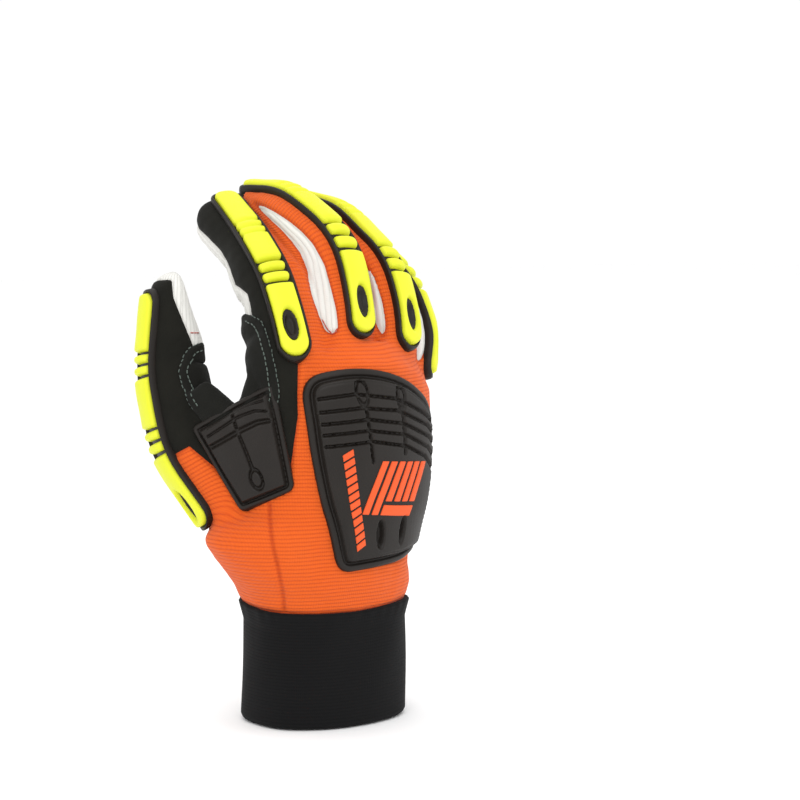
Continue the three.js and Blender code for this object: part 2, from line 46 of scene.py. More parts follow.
TURN = 2 * np.pi

# %% [markdown]
# ## Camera, light and floor
#
# The photo was taken from the thumb's side, a little above the middle of the cuff. A lens of about 100 mm
# at one metre keeps the fingers from looking swollen. One big soft light from the upper left, a weaker one
# from the right and a bright room give the even, nearly shadowless light of a catalogue picture.

# %% Camera
VIEW_AZIMUTH = -35.0  # degrees round from straight in front of the back of the hand
VIEW_ELEVATION = 5.5
VIEW_DISTANCE = 1000.0
SCALE = 2.3  # photo pixels per millimetre at that distance
ORIGIN_PIXEL = (324.5, 713.0)  # where the middle of the cuff's mouth falls in the photo
FRAME_PIXELS = 800
SENSOR = 36.0

azimuth = np.radians(VIEW_AZIMUTH)
elevation = np.radians(VIEW_ELEVATION)
to_camera = np.array(
    [np.sin(azimuth) * np.cos(elevation), -np.cos(azimuth) * np.cos(elevation), np.sin(elevation)]
)
view_right = np.array([np.cos(azimuth), np.sin(azimuth), 0.0])
view_up = np.cross(to_camera, view_right)
view_back = np.array([-np.sin(azimuth), np.cos(azimuth), 0.0])  # level, away from the camera
shift_right = (FRAME_PIXELS / 2 - ORIGIN_PIXEL[0]) / SCALE
shift_up = (ORIGIN_PIXEL[1] - FRAME_PIXELS / 2) / SCALE
camera_place = shift_right * view_right + shift_up * view_up + VIEW_DISTANCE * to_camera

camera_data = bpy.data.cameras.new("camera")
camera_data.sensor_width = SENSOR
camera_data.lens = SENSOR * SCALE * VIEW_DISTANCE / FRAME_PIXELS
camera_data.clip_start = 0.01
camera = bpy.data.objects.new("camera", camera_data)
bpy.context.collection.objects.link(camera)
camera.location = Vector(camera_place * MM)
camera.rotation_euler = Vector(-to_camera).to_track_quat("-Z", "Y").to_euler()
bpy.context.scene.camera = camera
print("camera at", np.round(camera_place).tolist(), "lens", round(camera_data.lens, 1))


# %% Light and floor
def soft_light(name, place, size, power):
    """A square area light of a size in metres, turned towards the middle of the glove."""
    data = bpy.data.lights.new(name, "AREA")
    data.size = size
    data.energy = power
    lamp = bpy.data.objects.new(name, data)
    bpy.context.collection.objects.link(lamp)
    lamp.location = place
    lamp.rotation_euler = (Vector((0, 0, 0.12)) - Vector(place)).to_track_quat("-Z", "Y").to_euler()


def level_material(name, color):
    """A plain matte material of one colour."""
    material = bpy.data.materials.new(name)
    material.use_nodes = True
    shader = material.node_tree.nodes["Principled BSDF"]
    shader.inputs["Base Color"].default_value = (*color, 1)
    shader.inputs["Roughness"].default_value = 0.9
    return material


soft_light("key_light", (-0.75, -0.95, 1.15), 1.1, 8)
soft_light("fill_light", (1.1, -0.9, 0.6), 1.2, 3)
soft_light("top_light", (0.0, 0.4, 1.5), 1.4, 5)
world = bpy.data.worlds.new("room")
world.use_nodes = True
world.node_tree.nodes["Background"].inputs["Color"].default_value = (1.0, 1.0, 1.0, 1)
world.node_tree.nodes["Background"].inputs["Strength"].default_value = 1.02
bpy.context.scene.world = world
bpy.context.scene.view_settings.view_transform = "Standard"

FLOOR_HALF = 4.0
floor_mesh = bpy.data.meshes.new("floor")
floor_corners = [(x * FLOOR_HALF, y * FLOOR_HALF, 0) for x, y in ((-1, -1), (1, -1), (1, 1), (-1, 1))]
floor_mesh.from_pydata(floor_corners, [], [(0, 1, 2, 3)])
floor = bpy.data.objects.new("floor", floor_mesh)
bpy.context.collection.objects.link(floor)
floor.location = (0, 0, -0.0004)
floor_mesh.materials.append(level_material("floor_paper", (0.98, 0.98, 0.98)))

# %% [markdown]
# ## Sizes of the hand
#
# A glove is cut to a hand, so the tables below describe the gloved hand. The palm is a stack of rounded
# sections. Each digit is a middle line that bends in one plane at its joints, with a rounded section
# carried along it.

# %% Size tables
SECTION_POWER = 2.3  # 2 would be an ellipse, more is squarer
JOINT_BEND = 24.0  # length of digit over which one joint bends

PALM_COLUMNS = ("z", "x", "y", "half_width", "half_depth", "arch", "drop")
PALM_ROWS = np.array([
    (50, 0, 0, 36.4, 28.2, 0, 0),
    (58, -0.8, -0.5, 38.5, 29.3, 0, 0),
    (65, -4.3, -1.4, 39.1, 28.6, 0.0005, 0),
    (72, -5.8, -2.5, 44.6, 27.5, 0.0015, 0),
    (79, -6.6, -3.5, 49.6, 26.7, 0.002, 0),
    (86, -3.0, -5, 48.4, 25.3, 0.0028, 0),
    (94, 2.6, -6.5, 44.6, 24.0, 0.0035, 0.001),
    (116, 4.5, -11, 46.5, 20.5, 0.0055, 0.003),
    (136, 5.8, -15, 46.8, 17.5, 0.007, 0.006),
    (154, 7, -16.5, 46.0, 14.5, 0.0075, 0.009),
    (164, 7, -16, 41.0, 7.0, 0.0075, 0.011),
])

# Sections by distance from the digit's root: half sizes towards its two sides, its back and its palm
SECTION_COLUMNS = ("s", "thumb_side", "other_side", "back", "palm")
INDEX_SECTIONS = np.array([
    (0, 15.0, 16.5, 12.4, 12.4),
    (8, 14.6, 17.5, 12.3, 12.2),
    (14, 11.0, 18.2, 12.2, 12.0),
    (26, 10.6, 19.0, 12.0, 10.9),
    (34, 10.5, 19.3, 11.9, 12.0),
    (42, 10.9, 19.6, 11.8, 14.0),
    (50, 10.6, 19.3, 11.6, 13.0),
    (58, 10.0, 18.8, 11.5, 10.4),
    (66, 10.2, 17.6, 11.3, 10.2),
    (75, 11.3, 16.2, 11.0, 10.9),
    (85, 12.4, 14.0, 10.6, 10.8),
    (97, 12.2, 12.0, 10.4, 10.4),
])
MIDDLE_SECTIONS = np.array([
    (0, 13.6, 13.6, 12.4, 12.4),
    (50, 12.8, 12.8, 11.8, 11.8),
    (101, 11.2, 11.2, 10.2, 10.2),
])
RING_SECTIONS = np.array([
    (0, 13.0, 13.0, 12.0, 12.0),
    (49, 12.3, 12.3, 11.4, 11.4),
    (99, 10.8, 10.8, 9.8, 9.8),
])
LITTLE_SECTIONS = np.array([
    (0, 12.0, 12.0, 11.2, 11.2),
    (42, 11.3, 11.3, 10.6, 10.6),
    (83, 9.8, 9.8, 9.2, 9.2),
])
THUMB_SECTIONS = np.array([
    (0, 17.0, 17.0, 15.0, 15.0),
    (38, 14.8, 14.8, 13.2, 13.4),
    (64, 13.0, 13.0, 11.8, 13.8),
    (77, 12.4, 12.4, 11.2, 13.0),
    (92, 11.2, 11.2, 10.7, 6.5),
    (101, 10.6, 10.6, 10.4, 2.6),
    (108, 10.2, 10.2, 10.0, 1.2),
])

# Bow of a digit's middle line to its side and outwards, and the turn of its guard round it in degrees
BOW_COLUMNS = ("s", "sideways", "outwards", "turn")
INDEX_BOW = np.array([(0, 0, 0, 0), (18, 0.8, 0, 0), (40, 0, 0, 0)])
MIDDLE_BOW = np.array([
    (-10, 0.5, 0, -6), (0, 3.2, 0, -6), (10, 5.6, 0, -7), (19, 7.0, 0, -8), (28, 7.4, 0.2, -9),
    (37, 6.2, 0.9, -10), (47, 3.6, 1.8, -10), (58, 1.8, 3.0, -13), (64, 1.4, 3.8, -15),
    (70, 1.2, 3.8, -15), (76, 0.9, 2.8, -14), (84, 0.6, 1.1, -14), (100, 0, 0.4, -16),
])
RING_BOW = np.array([
    (-10, 1.5, 0.8, -8), (0, 3.8, 1.8, -9), (8, 6.2, 2.0, -10), (17, 7.4, 2.2, -10), (27, 7.4, 2.0, -10),
    (37, 6.4, 1.8, -11), (47, 5.4, 1.6, -12), (56, 4.6, 2.3, -12), (64, 4.1, 3.2, -12),
    (71, 3.7, 3.2, -12), (79, 3.2, 2.0, -12), (90, 2.5, 0.5, -12), (98, 2.0, 0, -12),
])
LITTLE_BOW = np.array([
    (-5, 0, 0.5, 6), (5, 1.4, 2.6, 8), (12, 3.0, 4.8, 10), (20, 3.0, 4.8, 10), (29, 1.6, 3.6, 8),
    (39, -0.4, 1.0, 4), (50, -3.6, -2.2, 0), (60, -5.0, -3.6, 0), (84, -5.4, -4.4, 0),
])
THUMB_BOW = np.array([(0, 0, 0, 0), (100, 0, 0, 0)])

FINGER = dict(root_taper=0.45, power=2.5, strip_round=3.4)
DIGITS = {
    "index": dict(
        FINGER, root=(-23.7, -7.8, 152.3), lean=-2.0, tilt=-1.4, bend_toward=6.6, roll=-4, start=-24,
        bends=(-9, 39.1, 23.6, 7.5), joints=(-12, 36.0, 60.2), length=97.0, power=2.6,
        sections=INDEX_SECTIONS, bow=INDEX_BOW, ribs=(36.0, 60.2), strip=(-3.0, 92.2),
    ),
    "middle": dict(
        FINGER, root=(0.5, -9.9, 162.8), lean=1.5, tilt=-2.7, bend_toward=-5.3, roll=11, start=-28,
        bends=(-9, 32.6, 43.0, 15.8), joints=(-12, 38.4, 64.6), length=100.7,
        sections=MIDDLE_SECTIONS, bow=MIDDLE_BOW, ribs=(38.4, 64.6), strip=(-3.0, 94.5),
    ),
    "ring": dict(
        FINGER, root=(22.0, -10.2, 156.8), lean=3.8, tilt=-2.7, bend_toward=-6.4, roll=20, start=-26,
        bends=(-9, 32.8, 38.2, 12.9), joints=(-12, 35.3, 63.2), length=98.5,
        sections=RING_SECTIONS, bow=RING_BOW, ribs=(35.3, 63.2), strip=(-3.0, 93.5),
    ),
    "little": dict(
        FINGER, root=(37.6, -1.1, 145.2), lean=5.0, tilt=-4.0, bend_toward=-6.1, roll=38, start=-24,
        bends=(-9, 28.6, 33.5, 10.0), joints=(-12, 39.8, 57.4), length=82.0,
        sections=LITTLE_SECTIONS, bow=LITTLE_BOW, ribs=(39.8, 57.4), strip=(-3.0, 77.5),
    ),
    "thumb": dict(
        root=(-36.3, 11.6, 92.9), lean=-26.6, tilt=22.9, bend_toward=115, roll=13.5, start=-26,
        bends=(-4.6, 0, 24.2, 16.2), joints=(-12, 34.1, 64.4), length=107.5, root_taper=0.15, power=2.3,
        sections=THUMB_SECTIONS, bow=THUMB_BOW, ribs=(38.4, 67.4), strip=(0.0, 99.0), strip_round=6.0,
    ),
}

# The web between thumb and index, in the upright plane that faces the viewer
# Columns: top across, top height, bottom across, bottom height, half depth
WEB_ROWS = np.array([
    (-14, 150, -13, 88, 8.0),
    (-26, 156, -18, 86, 8.0),
    (-29.5, 156, -22, 85, 8.5),
    (-30.5, 147, -23, 84.5, 9.0),
    (-32.5, 139.5, -25, 84, 9.5),
    (-36, 135.2, -28, 84, 9.5),
    (-43.5, 141.8, -31, 84.5, 8.6),
    (-48.5, 146, -34, 87, 6.0),
    (-56, 141, -37, 92, 3.0),
])
WEB_DEPTHS = (-22.0, -19.0)  # of the upper and the lower edge
# Cloth that joins two fingers low down
# Columns: one finger, the other, how far along each it starts, length, half depth
JOINED = (("index", "middle", -6, -14, 86, 9.4),)
print("digits:", ", ".join(DIGITS))


# %% Section and middle-line helpers
def smooth_step(t):
    """0 below 0, 1 above 1, and t squared times (3 - 2t) between."""
    t = np.clip(t, 0, 1)
    return t * t * (3 - 2 * t)


def super_point(angle, power=SECTION_POWER):
    """Point of a superellipse with half sizes 1: sign times |cos| and |sin| to the power 2 / power."""
    c, s = np.cos(angle), np.sin(angle)
    return np.sign(c) * np.abs(c) ** (2 / power), np.sign(s) * np.abs(s) ** (2 / power)


def digit_frame(digit, s):
    """Middle points, tangents, out-of-the-back and sideways directions of a digit at distances s from its
    root. The tangent turns in one plane by the joints' smooth steps, and the middle line is its running
    sum."""
    up = np.array([np.tan(np.radians(digit["lean"])), np.tan(np.radians(digit["tilt"])), 1.0])
    up /= np.linalg.norm(up)
    compass = np.radians(digit["bend_toward"])
    toward = np.array([np.sin(compass), np.cos(compass), 0.0])
    toward -= up * (toward @ up)
    toward /= np.linalg.norm(toward)
    across = np.cross(toward, up)

    def bend(x):
        """Angle turned by distance x: the first angle, plus each joint's angle times its smooth step."""
        total = np.full(np.shape(x), float(digit["bends"][0]))
        for angle, joint in zip(digit["bends"][1:], digit["joints"]):
            total += angle * smooth_step((x - joint) / JOINT_BEND + 0.5)
        return np.radians(total)

    fine = np.linspace(-60, 130, 1901)
    turn = bend(fine)
    tangents = np.cos(turn)[:, None] * up + np.sin(turn)[:, None] * toward
    line = np.cumsum((tangents[1:] + tangents[:-1]) / 2, axis=0) * (fine[1] - fine[0])
    line = np.vstack([np.zeros(3), line])
    line += np.array(digit["root"]) - line[np.argmin(np.abs(fine))]
    s = np.asarray(s, float)
    middle = np.stack([np.interp(s, fine, line[:, k]) for k in range(3)], -1)
    turn = bend(s)[..., None]
    tangent = np.cos(turn) * up + np.sin(turn) * toward
    back = np.sin(turn) * up - np.cos(turn) * toward
    roll = np.radians(digit["roll"])
    out = back * np.cos(roll) + across * np.sin(roll)
    side = across * np.cos(roll) - back * np.sin(roll)
    sideways, outwards = (bow_value(digit, s, name)[..., None] for name in ("sideways", "outwards"))
    return middle + side * sideways + out * outwards, tangent, out, side


def bow_value(digit, s, name):
    """A column of the bow table at distances s, read five times around each place and averaged to round it
    off."""
    rows = digit["bow"]
    column = BOW_COLUMNS.index(name)
    return sum(np.interp(s + shift, rows[:, 0], rows[:, column]) for shift in (-6, -3, 0, 3, 6)) / 5


def digit_half(digit, s, w, n):
    """Half width and half depth towards the side of each point, straight between the rows and domed at the
    tip."""
    rows = digit["sections"]
    dome = rows[-1, 3] + 1
    past = np.clip((s - digit["length"]) / dome + 1, 0, 0.9995)
    inside = np.where(s < 0, 1 - digit["root_taper"] * (s / digit["start"]), 1.0)
    blunt = np.sqrt(1 - past ** 2.4) * inside
    half = {name: np.interp(s, rows[:, 0], rows[:, k]) for k, name in enumerate(SECTION_COLUMNS)}
    wide = np.where(w < 0, half["thumb_side"], half["other_side"])
    return wide * blunt, np.where(n < 0, half["palm"], half["back"]) * blunt


def palm_values(z):
    """The palm table's columns at heights z."""
    return {name: np.interp(z, PALM_ROWS[:, 0], PALM_ROWS[:, k]) for k, name in enumerate(PALM_COLUMNS)}


# %% [markdown]
# ## The body under the cloth
#
# Palm, web and digits are closed lofts that run into each other. A voxel remesh melts them into one skin,
# as a hand is one skin, and a few rounds of smoothing turn the sharp creases between them into soft ones.
# Joining by booleans would keep the creases sharp and the faces uneven.

# %% Loft and mesh helpers
def grid_faces(rows, columns, wrap=True, first=0):
    """Quads of a grid of rows by columns of vertices, closed round the columns if wrap."""
    i = np.arange(rows - 1)[:, None]
    j = np.arange(columns if wrap else columns - 1)[None, :]
    a = i * columns + j
    b = i * columns + (j + 1) % columns
    return (np.stack([a, b, b + columns, a + columns], -1) + first).reshape(-1, 4)


def split_quads(quads):
    """Two triangles for each quad."""
    return np.vstack([quads[:, [0, 1, 2]], quads[:, [0, 2, 3]]])


def closed_loft(rings):
    """Vertices and triangles of a skin over rings (rows, columns, 3), with a fan at each end."""
    rows, columns = rings.shape[:2]
    points = np.vstack([rings.reshape(-1, 3), rings[0].mean(0), rings[-1].mean(0)])
    skin = split_quads(grid_faces(rows, columns))
    j = np.arange(columns)
    k = (j + 1) % columns
    last = (rows - 1) * columns
    low = np.stack([k, j, np.full(columns, rows * columns)], 1)
    high = np.stack([last + j, last + k, np.full(columns, rows * columns + 1)], 1)
    return points, np.vstack([skin, low, high])


def volume_of(points, tris):
    """Signed volume: a sixth of the sum of each triangle's triple product."""
    a, b, c = (points[tris[:, k]] for k in range(3))
    return np.einsum("ij,ij->i", a, np.cross(b, c)).sum() / 6


def facing_out(points, tris):
    """The same closed mesh with its triangles turned outwards."""
    return (points, tris) if volume_of(points, tris) > 0 else (points, tris[:, ::-1])


def new_mesh_object(name, points, tris, smooth=True):
    """A Blender object at the origin, in metres, from arrays in millimetres."""
    mesh = bpy.data.meshes.new(name)
    mesh.vertices.add(len(points))
    mesh.vertices.foreach_set("co", (points * MM).astype(np.float32).ravel())
    mesh.loops.add(len(tris) * 3)
    mesh.loops.foreach_set("vertex_index", tris.astype(np.int32).ravel())
    mesh.polygons.add(len(tris))
    mesh.polygons.foreach_set("loop_start", np.arange(0, len(tris) * 3, 3, dtype=np.int32))
    mesh.update(calc_edges=True)
    mesh.polygons.foreach_set("use_smooth", np.full(len(tris), smooth))
    item = bpy.data.objects.new(name, mesh)
    bpy.context.collection.objects.link(item)
    return item


def arrays_of(item):
    """Vertices in millimetres and triangles of an object with its modifiers applied."""
    held = item.evaluated_get(bpy.context.evaluated_depsgraph_get())
    mesh = held.to_mesh()
    mesh.calc_loop_triangles()
    points = np.empty(len(mesh.vertices) * 3, np.float32)
    mesh.vertices.foreach_get("co", points)
    tris = np.empty(len(mesh.loop_triangles) * 3, np.int32)
    mesh.loop_triangles.foreach_get("vertices", tris)
    held.to_mesh_clear()
    return points.reshape(-1, 3).astype(float) / MM, tris.reshape(-1, 3)


# %% Lofts of palm, web and digits
def palm_loft():
    """Superellipse sections by height, bent by arch * x^2 in Y and lowered by drop * x^2 in Z."""
    z = np.concatenate([np.arange(46, 154, 2.0), np.arange(154, 164.1, 1.0)])
    row = palm_values(z)
    cx, cy = super_point(np.linspace(0, TURN, 96, endpoint=False))
    x = row["half_width"][:, None] * cx
    y = row["y"][:, None] + row["half_depth"][:, None] * cy + row["arch"][:, None] * x ** 2
    height = z[:, None] - row["drop"][:, None] * x ** 2
    return closed_loft(np.stack([row["x"][:, None] + x, y, height], -1))


def web_loft():
    """Upright rounded sections between an upper and a lower edge, from inside the palm to inside the
    thumb."""
    t = np.linspace(0, len(WEB_ROWS) - 1, 41)
    rows = np.stack([np.interp(t, np.arange(len(WEB_ROWS)), column) for column in WEB_ROWS.T], 1)
    up_axis = np.array([0, 0, 1.0])
    top = rows[:, 0:1] * view_right + rows[:, 1:2] * up_axis + WEB_DEPTHS[0] * view_back
    bottom = rows[:, 2:3] * view_right + rows[:, 3:4] * up_axis + WEB_DEPTHS[1] * view_back
    across, up = super_point(np.linspace(0, TURN, 48, endpoint=False))
    middle = bottom[:, None] + (top - bottom)[:, None] * ((1 + up) / 2)[None, :, None]
    return closed_loft(middle + view_back * (across * rows[:, 4:5])[..., None])


def joined_loft(one, other, one_start, other_start, length, half_depth):
    """Flat oval sections that reach from one finger's middle line to the other's, thinning out towards the
    tips."""
    t = np.linspace(0, length, 40)
    first, _, out, _ = digit_frame(DIGITS[one], one_start + t)
    second, _, out_other, _ = digit_frame(DIGITS[other], other_start + t)
    out = out + out_other
    out /= np.linalg.norm(out, axis=1, keepdims=True)
    deep = half_depth * np.sqrt(np.clip((length + 2 - t) / 14, 0.02, 1))
    across, up = super_point(np.linspace(0, TURN, 32, endpoint=False), 3)
    rings = (first + second)[:, None] / 2 + (second - first)[:, None] / 2 * across[None, :, None]
    return closed_loft(rings + out[:, None] * (deep[:, None] * up)[..., None])


def digit_loft(digit):
    """The superellipse section carried along the digit's middle line, with close rings at the domed tip."""
    dome = digit["length"] - digit["sections"][-1, 3] - 1
    tip = dome + (digit["length"] - dome) * np.sin(np.linspace(0.05, 1, 16) * np.pi / 2)
    s = np.concatenate([np.arange(digit["start"], dome, 1.0), tip])
    middle, _, out, side = digit_frame(digit, s)
    cw, cn = super_point(np.linspace(0, TURN, 48, endpoint=False), digit["power"])
    wide, deep = digit_half(digit, s[:, None], cw[None], cn[None])
    rings = middle[:, None] + side[:, None] * (wide * cw)[..., None]
    return closed_loft(rings + out[:, None] * (deep * cn)[..., None])


lofts = [palm_loft(), web_loft(), *map(digit_loft, DIGITS.values())]
lofts += [joined_loft(*row) for row in JOINED]
lofts = [facing_out(points, tris) for points, tris in lofts]
offsets = np.cumsum([0] + [len(points) for points, _ in lofts[:-1]])
all_points = np.vstack([points for points, _ in lofts])
all_tris = np.vstack([tris + offset for (_, tris), offset in zip(lofts, offsets)])
print("lofts:", len(lofts), "triangles:", len(all_tris))

# %% Melt into one skin
VOXEL = 0.95
SKIN_ROUNDS = 14  # of smoothing
rough = new_mesh_object("rough_body", all_points, all_tris)
remesh = rough.modifiers.new("melt", "REMESH")
remesh.mode = "VOXEL"
remesh.voxel_size = VOXEL * MM
skin_points, skin_tris = arrays_of(rough)
bpy.data.objects.remove(rough)


def edges_of(tris):
    """Each undirected edge of the triangles once."""
    pairs = np.vstack([tris[:, [0, 1]], tris[:, [1, 2]], tris[:, [2, 0]]])
    pairs.sort(axis=1)
    return np.unique(pairs, axis=0)


def smoothed(values, edges, count, rounds, share=0.5):
    """Moves each vertex's value towards the mean of its neighbours by a share, several rounds."""
    degree = np.maximum(np.bincount(edges.ravel(), minlength=count), 1)
    values = values.copy()
    for _ in range(rounds):
        for k in range(values.shape[1]):
            column = values[:, k]
            total = np.bincount(edges[:, 0], column[edges[:, 1]], count)
            total += np.bincount(edges[:, 1], column[edges[:, 0]], count)
            values[:, k] = column + share * (total / degree - column)
    return values


def normals_of(points, tris):
    """Vertex normals: the area-weighted sum of the normals of the triangles round each vertex."""
    face = np.cross(points[tris[:, 1]] - points[tris[:, 0]], points[tris[:, 2]] - points[tris[:, 0]])
    total = np.stack(
        [sum(np.bincount(tris[:, c], face[:, k], len(points)) for c in range(3)) for k in range(3)], 1
    )
    return total / np.maximum(np.linalg.norm(total, axis=1, keepdims=True), 1e-9)


skin_edges = edges_of(skin_tris)
skin_points = smoothed(skin_points, skin_edges, len(skin_points), SKIN_ROUNDS)
print("skin:", len(skin_points), "points", len(skin_tris), "triangles", skin_points.min(0).round(1),
      skin_points.max(0).round(1))

# %% [markdown]
# ## Where each point of the skin lies on the hand
#
# The seams follow the fingers, so every point gets its place along, across and out from each digit, and how
# far it is from that digit's own surface. Near a finger its own numbers count, and between two parts they
# are blended.

# %% Place on palm and digits
def on_digit(points, digit):
    """Distance along, across and out of a digit, and distance to its surface: nearest middle point, then
    the local directions there, and (superellipse radius - 1) times the mean half size."""
    line_s = np.arange(digit["start"], digit["length"] + 1, 0.5)
    middle, tangent, out, side = digit_frame(digit, line_s)
    dots = points.astype(np.float32) @ middle.T.astype(np.float32)
    near = np.argmax(dots - 0.5 * (middle ** 2).sum(1)[None].astype(np.float32), axis=1)
    offset = points - middle[near]
    s = line_s[near] + np.einsum("ij,ij->i", offset, tangent[near])
    w = np.einsum("ij,ij->i", offset, side[near])
    n = np.einsum("ij,ij->i", offset, out[near])
    wide, deep = digit_half(digit, np.clip(s, digit["start"], digit["length"] - 8), w, n)
    power = digit["power"]
    radius = ((np.abs(w) / wide) ** power + (np.abs(n) / deep) ** power) ** (1 / power)
    gap = np.abs(radius - 1) * (wide + deep) / 2
    gap += np.maximum(digit["start"] - s, 0) + np.maximum(-4 - s, 0) * 0.15
    return s, w, n, gap


def on_palm(points):
    """Unbent place in the palm's section, and distance to the palm's surface."""
    x = points[:, 0]
    row = palm_values(points[:, 2])
    x = x - row["x"]
    y = points[:, 1] - row["y"] - row["arch"] * x ** 2
    wide, deep = row["half_width"], row["half_depth"]
    power = SECTION_POWER
    radius = ((np.abs(x) / wide) ** power + (np.abs(y) / deep) ** power) ** (1 / power)
    above = np.maximum(points[:, 2] + row["drop"] * x ** 2 - 160, 0)
    return x, y, np.abs(radius - 1) * np.minimum(wide, deep) + above


BLEND = 1.6  # how softly one part's numbers give way to the next part's


def blended(parts):
    """Mean of the parts' values, each weighted by exp(-gap / BLEND)."""
    weights = np.stack([np.exp(-np.minimum(gap / BLEND, 30)) for gap, _ in parts]) + 1e-12
    values = np.stack([value for _, value in parts])
    return (weights * values).sum(0) / weights.sum(0)


# %% Seam fields
# Height of the seam over a finger's middle line
# Columns: on its thumb side, on its other side, at its tip
SEAM_ROWS = {"index": (5, 5, -3), "middle": (6, 5, -3), "ring": (6, 5, -3), "little": (5, -4, -3)}
THUMB_SEAM = (-3.0, 14.0)  # along the thumb, and at its tip, where the palm's cloth wraps over
THUMB_RISE = dict(height=20, across=4, start=36, over=6)  # of that seam on the thumb's far side
TIP_TURN = dict(below=12, over=9)  # where a seam starts to turn round the tip, and over what length
# White gussets between neighbours
# Columns: one finger, the other, height of the low end
GUSSETS = (("index", "middle", 163.0), ("middle", "ring", 165.0), ("ring", "little", 152.0))
# The two narrow gussets, by their first finger
# Columns: distance along of the high end, width, shift to the other finger
NARROW_GUSSETS = {"middle": (66.0, 2.2, 2.6), "ring": (60.0, 2.8, 3.0)}
# The wide gusset beside the index finger follows a line that was measured in the photo, in pixels
# Columns: across, down, half width
SEEN_LINES = {
    "index": np.array([
        (254.5, 203.5, 0.6), (262, 208.5, 2.8), (272, 215.5, 4.4), (285, 225.5, 5.8), (296, 236, 6.8),
        (306, 248, 7.6), (316, 268, 8.6), (321.5, 290, 9.2), (327.5, 312, 8.8), (331, 326, 7.0),
    ]),
}
GUSSET_REACH = 22  # sum of the distances to two fingers below which a point is between them
GUSSET_TAPERS = (9, 26)  # lengths over which a narrow gusset opens and closes
PATTERN_BLEND = 4.0
PATTERN_START = 5.0  # distance along a digit where the pattern's numbers are tied to its knuckle
PALM_SEAM = 4.0
SEAM_ROUNDS = 3  # of smoothing along the back's seam
THUMB_SIDE_SEAM = np.array([(50, -21), (67, -28), (89, -37.5), (119, -48), (132, -51.0)])  # height and x
# The side panel on a digit, with angles from the digit's side towards its back
# Columns: side, start, upper angle, lower angles, distances along of the lower angles, cover of the tip
SIDE_WEDGES = {
    "index": (-1, -16, 66, (-24, -10, 4, 13, -18, -9, -4, -6, -14), (0, 14, 26, 34, 45, 58, 68, 80, 92), 9.0),
    "thumb": (1, 32, 66, (-30, -28, -28, -4, 20, 28), (32, 60, 75, 85, 95, 104), 3.5),
}
WEB_OUTLINE = np.array([
    (-9.8, 160), (-8.6, 134), (-13.6, 107), (-28, 98.5), (-58, 121), (-68, 134), (-64, 150), (-40, 160),
], float)
WEB_DEPTH = -17.0
WEB_ROUND = 4
OFF_PANEL = -40.0  # the side panel's field where nothing of it is near
THUMB_PANEL_TOP = 16  # below the thumb's tip the panel covers its whole side


def outline_distance(points, corners):
    """Signed distance to a closed outline, positive inside: the nearest of its sides, and the parity of the
    sides that lie to one side of the point."""
    start = corners[None]
    along = np.roll(corners, -1, axis=0)[None] - start
    offset = points[:, None] - start
    share = np.clip((offset * along).sum(-1) / (along ** 2).sum(-1), 0, 1)
    distance = np.linalg.norm(offset - share[..., None] * along, axis=-1).min(1)
    low, high = start[..., 1], start[..., 1] + along[..., 1]
    y = points[:, None, 1]
    crosses = (low > y) != (high > y)
    at = start[..., 0] + (y - low) / np.where(high == low, 1, high - low) * along[..., 0]
    inside = (crosses & (points[:, None, 0] < at)).sum(1) % 2 == 1
    return np.where(inside, distance, -distance)


def rounded_distance(points, corners, radius):
    """Outline distance with the corners rounded off: the distance to the outline moved inwards, plus the
    radius."""
    centre = corners.mean(0)
    away = corners - centre
    length = np.linalg.norm(away, axis=1, keepdims=True)
    return outline_distance(points, centre + away * (1 - radius * 1.25 / length)) + radius


def in_view_plane(points):
    """Place in the upright plane that faces the viewer: across and height, and depth away from the
    viewer."""
    flat = np.stack([points @ view_right, points[:, 2]], 1)
    return flat, points @ view_back


def seen_place(points):
    """Where points fall in the photo, in pixels across and down: their offset from the camera over their
    distance."""
    offset = points - camera_place
    scale = SCALE * VIEW_DISTANCE / -(offset @ to_camera)
    across = FRAME_PIXELS / 2 + (offset @ view_right) * scale
    return np.stack([across, FRAME_PIXELS / 2 - (offset @ view_up) * scale], 1)


def seen_band(seen, line):
    """Distance in millimetres to a band round a measured line: negative inside its half width, which
    varies."""
    start, along = line[:-1, :2][None], np.diff(line[:, :2], axis=0)[None]
    offset = seen[:, None] - start
    share = np.clip((offset * along).sum(-1) / (along ** 2).sum(-1), 0, 1)
    half = line[:-1, 2] + np.diff(line[:, 2]) * share
    return (np.linalg.norm(offset - share[..., None] * along, axis=-1) - half).min(1) / SCALE


def seam_level(name, digit, s, w):
    """Height over a digit's middle line where the back's cloth ends, which sinks towards a finger's tip."""
    near_tip = smooth_step((s - digit["length"] + TIP_TURN["below"]) / TIP_TURN["over"])
    if name == "thumb":
        level = THUMB_SEAM[0] + (THUMB_SEAM[1] - THUMB_SEAM[0]) * near_tip
        far_side = smooth_step(w / THUMB_RISE["across"])
        along = smooth_step((s - THUMB_RISE["start"]) / THUMB_RISE["over"])
        return level + THUMB_RISE["height"] * far_side * along
    thumb_side, other_side, tip = SEAM_ROWS[name]
    level = thumb_side + (other_side - thumb_side) * smooth_step((w + 6) / 12)
    return level + (tip - level) * near_tip


def digit_pattern(digit, s, w, n):
    """A digit's share of the pattern, and millimetres along and across it: its cloth unrolled from the
    knuckle."""
    start, _, out, _ = digit_frame(digit, np.array([PATTERN_START]))
    knuckle = start[0] + out[0] * digit["sections"][0, 3]
    size = digit["sections"][1, 1:].mean()
    across = knuckle[0] + np.arctan2(w, np.abs(n) + 0.5) * size
    return smooth_step((s + 8) / 24), knuckle[2] - PATTERN_START + s, across


